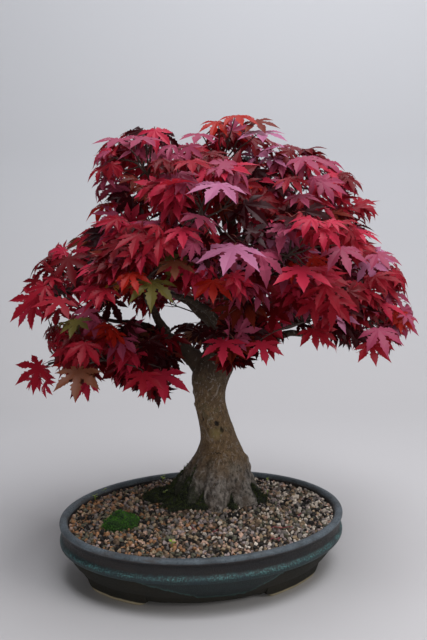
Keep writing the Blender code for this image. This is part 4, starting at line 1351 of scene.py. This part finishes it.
# Tints: base colour, then how much each is used high, low, to the right and deep inside.
# Lilac and mauve stand for a painted sheen of the sky on upper, right-hand leaves; maroon,
# and in part deep crimson, for painted shade deep inside the crown.
TINTS = {
    "lilac": ((0.380, 0.125, 0.235), (0.50, 0.0, 0.8, 0.0)),
    "mauve": ((0.290, 0.045, 0.095), (1.1, 0.15, 0.9, 0.05)),
    "rose": ((0.420, 0.020, 0.052), (0.9, 1.3, 0.6, 0.05)),
    "crimson": ((0.260, 0.008, 0.020), (1.6, 1.8, 0.0, 0.3)),
    "deep_crimson": ((0.120, 0.003, 0.007), (0.9, 1.1, 0.0, 1.2)),
    "scarlet": ((0.330, 0.014, 0.008), (0.15, 0.30, 0.0, 0.1)),
    "brick": ((0.140, 0.018, 0.010), (0.15, 0.4, -0.1, 0.3)),
    # near-black maroon: painted shade for leaves deep inside the crown
    "maroon": ((0.028, 0.001, 0.003), (0.2, 0.25, 0.0, 3.0)),
    "olive": ((0.115, 0.100, 0.026), (0.0, 0.0, 0.0, 0.0)),
    "bronze": ((0.150, 0.052, 0.028), (0.0, 0.06, -0.05, 0.1)),
    "amber": ((0.420, 0.190, 0.045), (0.0, 0.0, 0.0, 0.0)),
}
# Leaves that have turned otherwise: tint, then side and height in the trunk's plane.
ODD_LEAVES = (
    ("olive", (-0.055, 0.289)), ("olive", (-0.024, 0.318)), ("olive", (-0.145, 0.252)),
    ("bronze", (-0.072, 0.230)), ("bronze", (-0.136, 0.198)), ("amber", (-0.092, 0.284)),
    ("scarlet", (0.037, 0.461)), ("scarlet", (0.133, 0.432)), ("scarlet", (-0.076, 0.294)),
    ("brick", (0.012, 0.278)),
)
ODD_REACH, ODD_DEEPEST = 0.011, 0.030
# The largest leaves, which grow first: tint, mass, the blade's heart (side, deep, height),
# length, and how far in degrees the middle lobe hangs off to the right; then its dip.
GREAT_LEAVES = (
    ("lilac", "front_upper", (0.029, -0.088, 0.346), 0.046, -12, 1.0),
    ("lilac", "front_upper", (0.017, -0.090, 0.401), 0.038, -20, 0.9),
    ("lilac", "apex", (0.057, -0.006, 0.449), 0.034, 0, 0.7),
    ("mauve", "top_right", (0.095, -0.028, 0.424), 0.034, 25, 0.8),
    ("olive", "front_left", (-0.044, -0.092, 0.315), 0.036, 0, 1.4),
    ("bronze", "front_left", (-0.024, -0.088, 0.332), 0.028, 5, 1.2),
    ("rose", "left_front_low", (-0.040, -0.042, 0.218), 0.036, 10, 2.0),
    ("rose", "front_low", (0.020, -0.066, 0.255), 0.032, 0, 1.6),
    ("rose", "front_right", (0.089, -0.096, 0.319), 0.038, 5, 1.5),
    ("crimson", "front_right", (0.112, -0.086, 0.310), 0.034, 20, 1.5),
    ("mauve", "front_right", (0.125, -0.084, 0.344), 0.034, 10, 1.5),
    ("mauve", "right_low", (0.170, -0.040, 0.261), 0.034, 10, 1.6),
    ("bronze", "left_front_low", (-0.116, -0.076, 0.229), 0.034, 5, 2.2),
    ("crimson", "front_left", (-0.058, -0.078, 0.355), 0.030, -5, 1.6),
    ("rose", "front_upper", (-0.017, -0.092, 0.362), 0.028, 5, 1.4),
    ("crimson", "front_upper", (-0.009, -0.074, 0.421), 0.028, 5, 0.8),
    ("crimson", "left_front_low", (-0.109, -0.072, 0.254), 0.030, -5, 1.6),
    ("crimson", "left_front_low", (-0.056, -0.066, 0.223), 0.028, 5, 1.8),
    ("scarlet", "front_left", (-0.063, -0.092, 0.322), 0.026, 20, 1.3),
    ("mauve", "top_left", (-0.057, -0.016, 0.443), 0.032, -15, 0.7),
    ("scarlet", "apex", (0.033, 0.000, 0.464), 0.030, 10, 0.7),
    ("crimson", "top_right", (0.082, -0.032, 0.405), 0.028, 25, 0.9),
    ("crimson", "front_left", (-0.087, -0.086, 0.307), 0.026, -15, 1.2),
    ("scarlet", "front_middle", (0.010, -0.084, 0.314), 0.030, 0, 1.6),
    ("crimson", "left_middle", (-0.136, -0.040, 0.290), 0.030, -25, 1.2),
    ("mauve", "top_right", (0.091, -0.032, 0.389), 0.026, 20, 0.9),
    ("rose", "front_right_low", (0.056, -0.066, 0.253), 0.028, 10, 1.6),
    ("crimson", "right_low", (0.163, -0.040, 0.246), 0.028, 5, 1.8),
    ("crimson", "front_right_low", (0.103, -0.072, 0.267), 0.026, 5, 1.8),
    ("mauve", "apex", (-0.002, -0.018, 0.446), 0.028, -10, 0.7),
    ("mauve", "right_shoulder", (0.171, -0.016, 0.332), 0.028, 20, 1.2),
    ("crimson", "left_middle", (-0.166, -0.006, 0.288), 0.036, -72, 2.3),
    ("rose", "left_middle", (-0.174, 0.012, 0.276), 0.030, -80, 2.8),
    ("crimson", "left_middle", (-0.154, -0.020, 0.300), 0.028, -60, 1.6),
    ("crimson", "left_low", (-0.166, -0.004, 0.216), 0.032, -78, 1.9),
    ("mauve", "top_left", (-0.078, -0.004, 0.449), 0.028, -30, 1.2),
    ("rose", "top_left", (-0.044, -0.004, 0.452), 0.028, 5, 1.3),
    ("scarlet", "apex", (0.014, -0.002, 0.458), 0.026, -15, 1.4),
    ("brick", "apex", (0.052, -0.004, 0.459), 0.026, 20, 1.3),
)
GREAT_TRIES = 24
GREAT_STALK, UNDER_BLADE, GREAT_WANDER = 0.26, 0.0022, 0.0018
GREAT_BEHIND = 0.012         # leaves this far behind one and deeper may cross its view
MOST_SHAPES = 20000          # limbs, twigs and leaves in all
GREAT_CLEAR = 0.62           # in its lengths: how wide the view of one is kept free
GREAT_CURLS = (1, 2, 3, 4, 5, 6)        # which of the blade's variants they are
# The crown's front as (side, height) in the trunk's plane, seen from a step away: its
# outline, and the windows in it with their half widths and half heights.
CROWN_EYE = Vector((0.011, -0.848, 0.420))
CROWN_OUTLINE = (
    (-0.204, 0.250), (-0.185, 0.308), (-0.145, 0.345), (-0.134, 0.361),
    (-0.119, 0.392), (-0.112, 0.424), (-0.114, 0.434), (-0.086, 0.454), (-0.066, 0.464),
    (-0.053, 0.467), (-0.035, 0.457), (-0.013, 0.453), (0.009, 0.455), (0.027, 0.468),
    (0.042, 0.467), (0.059, 0.457), (0.090, 0.450), (0.123, 0.440), (0.139, 0.432),
    (0.131, 0.419), (0.154, 0.411), (0.185, 0.402), (0.199, 0.388), (0.189, 0.369),
    (0.207, 0.352), (0.199, 0.343), (0.214, 0.314), (0.208, 0.304), (0.219, 0.278),
    (0.229, 0.251), (0.229, 0.235), (0.212, 0.229), (0.187, 0.207), (0.174, 0.225),
    (0.144, 0.216), (0.123, 0.229), (0.107, 0.234), (0.102, 0.242), (0.088, 0.234),
    (0.073, 0.202), (0.039, 0.203), (0.020, 0.192), (0.005, 0.201), (-0.006, 0.223),
    (-0.018, 0.212), (-0.014, 0.188), (-0.043, 0.155), (-0.057, 0.164), (-0.073, 0.177),
    (-0.101, 0.184), (-0.127, 0.157), (-0.160, 0.166), (-0.172, 0.175),
    (-0.203, 0.184), (-0.173, 0.210), (-0.160, 0.224), (-0.175, 0.233), (-0.163, 0.250),
    (-0.182, 0.254), (-0.200, 0.237), (-0.206, 0.248),
)
SKY_WINDOWS = (
    (-0.092, 0.264, 0.0135, 0.0100), (-0.020, 0.264, 0.0180, 0.0100),
    (-0.143, 0.309, 0.0085, 0.0060), (-0.069, 0.368, 0.0130, 0.0070),
    (-0.068, 0.409, 0.0093, 0.0070), (0.118, 0.374, 0.0069, 0.0090),
    (0.127, 0.341, 0.0060, 0.0082), (0.070, 0.409, 0.0081, 0.0030),
    (0.099, 0.387, 0.0050, 0.0040), (-0.148, 0.261, 0.0096, 0.0064),
    (0.083, 0.255, 0.0072, 0.0064), (-0.090, 0.382, 0.0062, 0.0040),
)
REACH_LOW, REACH_HIGH = (Vector(corner) for corner in solids_box)
REACH_ROOM = (REACH_HIGH - REACH_LOW) * REACH_OVER


def bent_down(reach, curl):
    """A length along a lobe that curls down, as how far out and how far down it ends."""
    if abs(curl) < 1e-3:
        return reach, 0.0
    return math.sin(curl * reach) / curl, (1 - math.cos(curl * reach)) / curl


def leaf_blade(chance, droop):
    """A leaf's blade, one length long: its points, its faces and a plain stand-in."""
    spread = chance.uniform(0.90, 1.08)
    toothed = chance.uniform(0.7, 1.2) * TOOTH_DEPTH
    points, faces, plain = [Vector((0, 0, 0))], [], []

    def put(direction, reach, off=0, curl=droop, fold=0):
        """Add a point so far out along a direction and so far off to its side."""
        out, down = bent_down(reach, curl)
        ahead = level_way(math.radians(direction))
        side = Vector((-ahead.y, ahead.x, 0))
        points.append(ahead * out + side * off + Vector((0, 0, abs(off) * fold - down)))
        return len(points) - 1

    def mirrored(rows):
        """Rows of one half of the leaf, and before them the same for its other half."""
        half = [(degrees * spread, *row) for degrees, *row in rows]
        return [(-degrees, *row) for degrees, *row in reversed(half) if degrees] + half

    notches = [put(degrees, reach) for degrees, reach in mirrored(NOTCHES[:-1])]
    rear = put(*NOTCHES[-1], curl=0)
    notches = [rear, *notches, rear]
    for number, (direction, length, width) in enumerate(mirrored(LOBES)):
        length *= chance.uniform(0.93, 1.06)
        width *= chance.uniform(0.90, 1.10)
        direction += chance.uniform(-3, 3)
        curl = droop * chance.uniform(0.75, 1.30) / length
        fold = FOLD * chance.uniform(0.6, 1.3)
        inner, outer, tip = (
            put(direction, length * place, curl=curl) for place in (RIB_INNER, RIB_OUTER, 1)
        )
        for side, notch in ((-1, notches[number]), (1, notches[number + 1])):
            edge = []
            for place, wide in LOBE_EDGE:
                back = wide * (1 - toothed) if length > 0.5 else wide * 0.92
                for share, out in ((place, wide), (place + TOOTH_STEP, back)):
                    edge.append(put(direction, length * share, side * width * out, curl, fold))
            parts = ([0, inner, *reversed(edge[:3]), notch], [inner, outer, *reversed(edge[2:7])],
                     [outer, tip, *reversed(edge[6:])])
            faces += [tuple(part if side < 0 else reversed(part)) for part in parts]
            plain.append((0, edge[2], tip) if side < 0 else (0, tip, edge[2]))
    return points, faces, plain


class Company:
    """The limbs, twigs and leaves that stand already, for clearance tests."""

    def __init__(self):
        self.trees = []
        self.soft = np.zeros(MOST_SHAPES, bool)
        self.lows = np.zeros((MOST_SHAPES, 3))
        self.highs = np.zeros((MOST_SHAPES, 3))
        self.great = []          # where the largest leaves show, how deep, and how wide

    def add(self, points, faces, soft=False):
        """Note a shape, soft if it is a leaf, and give its number."""
        cloud = np.array(points)
        self.soft[len(self.trees)] = soft
        self.lows[len(self.trees)] = cloud.min(axis=0)
        self.highs[len(self.trees)] = cloud.max(axis=0)
        self.trees.append(BVHTree.FromPolygons(points, faces))
        return len(self.trees) - 1

    def touches(self, points, faces, apart_from=(), crowded=False):
        """Whether a shape meets any noted one; in a crowd leaves may brush each other."""
        cloud = np.array(points)
        count = len(self.trees)
        near = np.all(self.lows[:count] < cloud.max(axis=0) + CLEARANCE, axis=1)
        near &= np.all(self.highs[:count] > cloud.min(axis=0) - CLEARANCE, axis=1)
        if crowded:
            near &= ~self.soft[:count]
        found = [int(i) for i in np.nonzero(near)[0] if int(i) not in apart_from]
        if not found:
            return False
        shape = BVHTree.FromPolygons(points, faces)
        return any(shape.overlap(self.trees[i]) for i in found)

    def hides_great(self, middle):
        """Whether a leaf here would hang before one of the largest."""
        side, height = seen_at(middle)
        return any(
            middle.y < deep + GREAT_BEHIND and math.hypot(side - x, height - z) < width
            for x, z, deep, width in self.great
        )


def inside(points, centre, half):
    """Whether every point keeps to the rounded space of a mass."""
    return all(
        sum(abs(a / (h * SPACE_REACH)) ** SPACE_POWER for a, h in zip(point - centre, half)) <= 1
        for point in points
    )


def seen_at(point):
    """Where a place in the crown shows in the trunk's plane, as its side and height."""
    share = (TRUNK_DEEP - CROWN_EYE.y) / (point.y - CROWN_EYE.y)
    return (CROWN_EYE.x + (point.x - CROWN_EYE.x) * share,
            CROWN_EYE.z + (point.z - CROWN_EYE.z) * share)


def in_outline(point):
    """Whether a place keeps inside the crown's outline."""
    side, height = seen_at(point)
    within = False
    for (x1, z1), (x2, z2) in zip(CROWN_OUTLINE, CROWN_OUTLINE[1:] + CROWN_OUTLINE[:1]):
        if (z1 > height) != (z2 > height) and side < x1 + (height - z1) / (z2 - z1) * (x2 - x1):
            within = not within
    return within


def in_window(point):
    """Whether a place would close one of the crown's windows."""
    side, height = seen_at(point)
    return any(((side - x) / half_width) ** 2 + ((height - z) / half_height) ** 2 < 1
               for x, z, half_width, half_height in SKY_WINDOWS)


def in_reach(points):
    """Whether places keep to the whole plant's reach, as its solids give it."""
    return all(
        low - room <= p <= high + room
        for point in points
        for p, low, high, room in zip(tree_place(*point), REACH_LOW, REACH_HIGH, REACH_ROOM)
    )


def sphere_direction(number, count, turn):
    """Directions spread evenly over a sphere by the golden angle."""
    z = 1 - 2 * (number + 0.5) / count
    angle = number * math.pi * (3 - math.sqrt(5)) + turn
    flat = math.sqrt(1 - z * z)
    return Vector((flat * math.cos(angle), flat * math.sin(angle), z))


def thin_tube(line, start, end, sides):
    """A closed tapering twig or stalk, in the tree's axes."""
    rings = []
    first_side = Vector((0.13, 0.21, 1)).cross(line[1] - line[0]).normalized()
    for i, (point, side, over) in enumerate(crosswise(line, first_side)):
        radius = start + (end - start) * i / (len(line) - 1)
        rings.append([point + (side * math.cos(angle) + over * math.sin(angle)) * radius
                      for angle in turns(sides)])
    return lofted(rings)


def odd_tint(place):
    """The tint of a leaf that has turned otherwise than its spray, if it has."""
    side, height = seen_at(place)
    for name, (odd_side, odd_height) in ODD_LEAVES:
        if math.hypot(side - odd_side, height - odd_height) < ODD_REACH and place.y < ODD_DEEPEST:
            return name
    return None


def spray_tint(place, chance):
    """The tint dealt to a spray by where it hangs, painted sheen high and right, painted shade deep
    inside.
    """
    away = place - CROWN_HEART
    high = held(away.z / TINT_RISE * 0.7 + 0.5)
    right, back, up = (a / half for a, half in zip(away, CROWN_HALF))
    deep = held((TINT_DEEP - math.sqrt(right ** 2 + back ** 2 + up ** 2)) / TINT_FADE)
    weights = []
    # sprays high and to the right lean to the painted sheen tints, deep ones to the painted shade
    # tints
    for _, (at_top, at_foot, to_right, within) in TINTS.values():
        weight = at_top * high + at_foot * (1 - high) + to_right * right * 0.5
        weights.append(max(weight * (1 - deep), 0.0) + within * deep)
    return chance.choices(list(TINTS), weights)[0]


def leaf_finish(name, colour):
    """A leaf's tint: one plain colour, satin above and letting some light through."""
    finish, shader = new_finish(f"{name} leaf", colour, 0.40)
    fed(shader, Specular_IOR_Level=LEAF_SHINE)
    warmer = (min(colour[0] * 1.9 + 0.04, 1), colour[1] * 1.5 + 0.004, colour[2] * 0.8, 1)
    glow = fed(beside(shader, "ShaderNodeBsdfTranslucent"), Color=warmer)
    through = beside(shader, "ShaderNodeMixShader")
    fed(through, _0=LEAF_GLOW, _1=shader.outputs[0], _2=glow.outputs[0])
    fed(finish.node_tree.nodes["Material Output"], Surface=through.outputs[0])
    return finish


def upright(up, ahead):
    """The part of a direction that stands square to another."""
    return (up - ahead * up.dot(ahead)).normalized()


class Growth:
    """The twigs, stalks and leaves of one mass as they grow."""

    def __init__(self, name, company, blades):
        self.centre, self.half = (Vector(values) for values in MASSES[name])
        self.company = company
        self.blades = blades
        self.chance = random.Random(f"{SEED}-{name}")
        self.shoots = []
        self.wood = []
        self.stalks = []
        self.leaves = []

    def leaf(self, root, aim, twig, tint, size=1.0):
        """A leaf on its stalk that finds room at a place on a twig."""
        chance = self.chance
        outward = (root - CROWN_HEART).normalized()
        turned = outward.y * 1.2 + math.copysign(0.55, root.y - 0.060)
        facing = Vector((outward.x * 0.4, turned, outward.z * 0.4)).normalized() * 0.7
        for attempt in range(LEAF_TRIES):
            ahead = outward * 0.75 + aim * 0.75
            ahead.z = ahead.z * LEAF_RISE - LEAF_FALL
            ahead = (ahead + wobble(chance, LEAF_STRAY + 0.05 * attempt)).normalized()
            up = facing + Vector((0, 0, 0.75)) + wobble(chance, LEAF_TILT + 0.03 * attempt)
            up = upright(up, ahead)
            length = LEAF_LENGTH * size * chance.uniform(*LEAF_SPREAD) * (1 - SMALLER * attempt)
            stalk = length * STALK_LENGTH * chance.uniform(*STALK_SPREAD)
            base = root + (aim * 0.6 + ahead * 0.5 + Vector((0, 0, 0.25))).normalized() * stalk
            points, faces, plain = self.blades[chance.randrange(LEAF_VARIANTS)]
            placed = blade_at(points, base, ahead, up, length)
            tips = [placed[face[2]] for face in plain[::2]]
            middle = placed[0] * 0.6 + tips[3] * 0.4
            if not inside(tips, self.centre, self.half) or not in_reach(tips):
                continue
            if self.company.hides_great(middle):
                continue
            if not all(in_outline(tip) and not in_window(tip) for tip in tips):
                continue
            if self.company.touches(placed, plain, (twig,), attempt >= LEAF_TRIES // 3):
                continue
            self.company.add(placed, plain, soft=True)
            self.leaves.append((placed, faces, odd_tint(middle) or tint))
            line = [root, root.lerp(base, 0.5) + Vector((0, 0, stalk * 0.10)), base]
            self.stalks.append(thin_tube(line, STALK_RADIUS * 1.2, STALK_RADIUS, STALK_SIDES))
            return True
        return False

    def great_leaf(self, tint, heart, length, hang, dip, stem, foot):
        """One of the largest leaves, held out on a twig of its own."""
        chance = self.chance
        hang = math.radians(hang)
        points, faces, plain = self.blades[chance.choice(GREAT_CURLS)]
        for attempt in range(GREAT_TRIES):
            spot = Vector(heart) + wobble(chance, 0.0012 * attempt) * (0.5 + 0.5 * (attempt > 4))
            ahead = Vector((math.sin(hang), -math.cos(hang), -0.35 * dip))
            ahead = (ahead + wobble(chance, 0.03 * attempt)).normalized()
            up = upright(Vector((0.10 * math.sin(hang), -0.62 * dip ** 0.5, 1.0)), ahead)
            placed = blade_at(points, spot, ahead, up, length)
            twig_end = spot - ahead * length * GREAT_STALK - up * UNDER_BLADE
            line = twig_line(foot, twig_end, GREAT_WANDER, length * 90 + attempt)
            shape = thin_tube(line, TWIG_RADIUS, TWIG_TIP, TWIG_SIDES)
            if not in_reach([placed[face[2]] for face in plain]):
                continue
            if self.company.touches(placed, plain):
                continue
            if self.company.touches(*shape, (stem, *self.shoots)):
                continue
            self.company.add(placed, plain)
            self.shoots.append(self.company.add(*shape))
            side, height = seen_at(spot + ahead * length * 0.3)
            self.company.great.append((side, height, spot.y, length * GREAT_CLEAR))
            self.wood.append(shape)
            self.leaves.append((placed, faces, tint))
            line = [twig_end, twig_end.lerp(spot, 0.5), spot]
            self.stalks.append(thin_tube(line, STALK_RADIUS * 1.3, STALK_RADIUS, STALK_SIDES))
            return

    def twig(self, foot, tip, parent, start, pairs):
        """One twig with pairs of leaves, or nothing where it finds no room."""
        line = twig_line(foot, tip, TWIG_WANDER, len(self.wood) + 3.1)
        shape = thin_tube(line, start, TWIG_TIP, TWIG_SIDES)
        leaf_end = line[-1] + (line[-1] - CROWN_HEART).normalized() * LEAF_LENGTH * TIP_ROOM
        if not in_outline(leaf_end) or self.company.touches(*shape, parent):
            return None
        number = self.company.add(*shape)
        reach = 0
        for step, (share, turn) in enumerate(pairs):
            spot = along_curve(line, share)
            if step % 2 == 0:
                tint = spray_tint(spot, self.chance)
            ahead = along_curve(line, min(share + 0.08, 1.0))
            along = (ahead - along_curve(line, share - 0.08)).normalized()
            across = along.cross(Vector((0, 0, 1))).normalized()
            over = along.cross(across)
            sides = across * math.cos(turn) + over * math.sin(turn)
            for side in (-1, 1):
                aim = (along * 0.7 + sides * side).normalized()
                if self.leaf(spot, aim, number, tint, 1.0 - 0.12 * (1 - share)):
                    reach = max(reach, share)
        if not reach:
            return None
        kept = [along_curve(line, reach * i / (TWIG_POINTS - 1)) for i in range(TWIG_POINTS)]
        self.wood.append(thin_tube(kept, start, TWIG_TIP, TWIG_SIDES))
        return line, number


def blade_at(points, base, ahead, up, length):
    """A blade's points at its place on the plant."""
    turn = Matrix((ahead, up.cross(ahead), up)).transposed() * length
    return [base + turn @ point for point in points]


def twig_line(foot, tip, amount, salt):
    """A twig's line from its foot to its tip."""
    return crooked(bent_line(foot, tip, (tip - foot).length * TWIG_SAG, TWIG_POINTS), amount, salt)


def grow_mass(growth, line, stem, heading):
    """Twigs, side twigs and leaves of one mass round its stem."""
    chance, centre, half = growth.chance, growth.centre, growth.half
    size = (half.x * half.y * half.z) ** (1 / 3)
    count = round(TWIGS_PER_MASS * (size / USUAL_SIZE) ** 2)
    for number in range(count):
        way = sphere_direction(number, count, chance.uniform(0, 0.5))
        if way.dot(heading) < BACKWARDS:
            continue
        foot = line[1].lerp(line[-1], 0.35 + 0.3 * (1 + way.dot(heading)))
        for reach in REACHES[number % 3 > 0]:
            tip = centre + stretched(way, half) * reach
            if (tip - foot).length < SHORTEST_TWIG:
                continue
            pairs = ((0.98, chance.uniform(-0.3, 0.3)), *LEAF_PAIRS)
            grown = growth.twig(foot, tip, (stem,), TWIG_RADIUS, pairs)
            if grown:
                side_twigs(growth, *grown, stem, tip - foot)
                break


def side_twigs(growth, shoot, number, stem, way):
    """The short side twigs of a twig, each with its own leaves."""
    for share, side in SIDE_TWIGS:
        root = along_curve(shoot, share)
        lean = way.cross(wobble(growth.chance, 1.0)).normalized() * side
        end = root + (way.normalized() + lean * 0.9).normalized() * way.length * 0.5
        growth.twig(root, end, (stem, number), TWIG_TIP * 1.3, SIDE_PAIRS)


def joined(name, shapes, finishes, smooth):
    """One piece from many shapes, each with the number of its finish."""
    points, faces, slots = [], [], []
    for shape_points, shape_faces, slot in shapes:
        gather(points, faces, shape_points, shape_faces)
        slots += [slot] * len(shape_faces)
    mesh = make_mesh(name, [tree_place(*point) for point in points], faces, facing_out=False)
    piece = add_piece(name, mesh, *finishes, smooth=smooth)
    mesh.polygons.foreach_set("material_index", slots)
    return piece


def stem_of(limb, name):
    """The stem that leads a bough on into its mass: where twigs start, shape and heading."""
    centre, half = MASSES[name]
    heading = (limb[-1] - limb[-2]).normalized()
    end = Vector(centre) + stretched(heading, half) * 0.3
    root = limb[-1] - heading * 0.002
    reach = (end - root).length
    handles = (root, root + heading * reach * 0.4, root.lerp(end, 0.7), end)
    line = [Vector(p) for p in interpolate_bezier(*handles, 12)]
    starts = [root, root + heading * reach * 0.3, root.lerp(end, 0.62), end]
    return starts, thin_tube(line, BOUGH_TIP, TWIG_RADIUS, STEM_SIDES), heading


def make_foliage(wood_finishes, tint_finishes):
    """Grow every mass and make its twigs one piece and its leaves another."""
    chance = random.Random(SEED)
    shares = [i / (LEAF_VARIANTS - 1) for i in range(LEAF_VARIANTS)]
    blades = [leaf_blade(chance, LEAST_DROOP + share ** 1.3) for share in shares]
    company = Company()
    for name, line in limb_lines.items():
        root = TRUNK_CORE if name == "trunk" else BOUGHS[name][2]
        company.add(*thin_tube(line, root, BOUGH_TIP, STEM_SIDES))
    carriers = {row[4]: name for name, row in BOUGHS.items()}
    carriers["apex"] = "trunk"
    stems = {name: stem_of(limb_lines[carriers[name]], name) for name in MASSES}
    numbers = {name: company.add(*shape) for name, (_, shape, _) in stems.items()}
    tint_names = list(TINTS)
    growths = {name: Growth(name, company, blades) for name in stems}
    for tint, mass, *leaf in GREAT_LEAVES:
        line = stems[mass][0]
        growths[mass].great_leaf(tint, *leaf, numbers[mass], line[1].lerp(line[-1], 0.6))
    for name, (line, shape, heading) in stems.items():
        growth = growths[name]
        grow_mass(growth, line, numbers[name], heading)
        wood = [(*part, 0) for part in (shape, *growth.wood)]
        wood += [(*part, 1) for part in growth.stalks]
        twigs = joined(f"{name}_twigs", wood, wood_finishes, WOOD_SMOOTH)
        leaves = [(points, faces, tint_names.index(tint)) for points, faces, tint in growth.leaves]
        foliage = joined(f"{name}_leaves", leaves, tint_finishes, LEAF_SMOOTH)
        for piece in (twigs, foliage):
            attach(piece, "root")
            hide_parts(name)


make_foliage(
    [new_finish("twig bark", (0.045, 0.024, 0.018), 0.7)[0],
     new_finish("red leaf stalk", (0.210, 0.050, 0.040), 0.5)[0]],
    [leaf_finish(name, colour) for name, (colour, _) in TINTS.items()],
)


# Table, wall and light ---------------------------------------------------------------
# The plant stands for its portrait on a pale table top that sweeps up into a pale wall,
# under a broad, cool light from above, a softer one from the right, and a weak fill.

SWEEP_HALF, SWEEP_FRONT, SWEEP_BACK, SWEEP_TOP = 2.6, -2.2, 0.95, 2.4
SWEEP_BEND, BEND_STEPS = 0.45, 16
CAMERA_PLACE = Vector((-0.1932, -0.8255, 0.4203))       # from the middle of the pot's foot
CAMERA_TURN, CAMERA_DIP, LENS = -13.8981, 10.5192, 48


def sweep_mesh():
    """The table top and the wall behind it, joined by a bend."""
    profile = [(SWEEP_FRONT, 0.0), (SWEEP_BACK - SWEEP_BEND, 0.0)]
    for step in range(1, BEND_STEPS + 1):
        turn = math.pi / 2 * step / BEND_STEPS
        profile.append((SWEEP_BACK - SWEEP_BEND + SWEEP_BEND * math.sin(turn),
                        SWEEP_BEND * (1 - math.cos(turn))))
    profile.append((SWEEP_BACK, SWEEP_TOP))
    turn = Matrix.Rotation(math.radians(CAMERA_TURN), 3, "Z")
    points = [turn @ Vector((side * SWEEP_HALF, y, z)) for y, z in profile for side in (-1, 1)]
    faces = [(2 * i, 2 * i + 1, 2 * i + 3, 2 * i + 2) for i in range(len(profile) - 1)]
    return make_mesh("pale_sweep", points, faces, facing_out=False)


def area_light(name, place, aim, size, power, colour):
    """A soft box of light that looks at a point."""
    light = bpy.data.lights.new(name, "AREA")
    light.shape = "RECTANGLE"
    light.size, light.size_y = size
    light.energy = power
    light.color = colour
    lamp = bpy.data.objects.new(name, light)
    bpy.context.collection.objects.link(lamp)
    lamp.location = place
    lamp.rotation_euler = (Vector(aim) - Vector(place)).to_track_quat("-Z", "Y").to_euler()


pale, shader = new_finish("pale paper", roughness=0.9)
level = height_of(place_on(shader))
fed(shader, Base_Color=layered((0.50, 0.49, 0.495), (level, 0.0, 0.40, (0.60, 0.61, 0.635))))
# Seen from behind the paper isn't there, so that it hides the plant from no side.
behind = beside(shader, "ShaderNodeNewGeometry").outputs["Backfacing"]
clear = beside(shader, "ShaderNodeBsdfTransparent").outputs[0]
one_sided = beside(shader, "ShaderNodeMixShader")
fed(one_sided, _0=behind, _1=shader.outputs[0], _2=clear)
fed(pale.node_tree.nodes["Material Output"], Surface=one_sided.outputs[0])
sweep = add_piece("pale_sweep", sweep_mesh(), pale)

area_light("sky", (0.20, -0.25, 1.70), (0.0, 0.0, 0.30), (1.4, 1.2), 33, (0.93, 0.94, 0.98))
area_light("window", (1.15, -1.10, 1.00), (0.0, 0.0, 0.22), (0.9, 0.9), 9, (1.0, 0.98, 0.95))
area_light("fill", (-0.80, -1.55, 0.42), (0.0, 0.0, 0.25), (1.2, 0.7), 6, (1.0, 0.97, 0.93))

world = bpy.data.worlds.new("soft room")
world.use_nodes = True
fed(world.node_tree.nodes["Background"], Color=(0.80, 0.84, 0.92, 1), Strength=0.05)
bpy.context.scene.world = world
bpy.context.scene.view_settings.view_transform = "Standard"

camera = bpy.data.cameras.new("camera")
camera.lens = LENS
camera_stand = bpy.data.objects.new("camera", camera)
bpy.context.collection.objects.link(camera_stand)
camera_stand.location = POT_MIDDLE + CAMERA_PLACE
camera_stand.rotation_euler = (math.radians(90 - CAMERA_DIP), 0, math.radians(CAMERA_TURN))
bpy.context.scene.camera = camera_stand
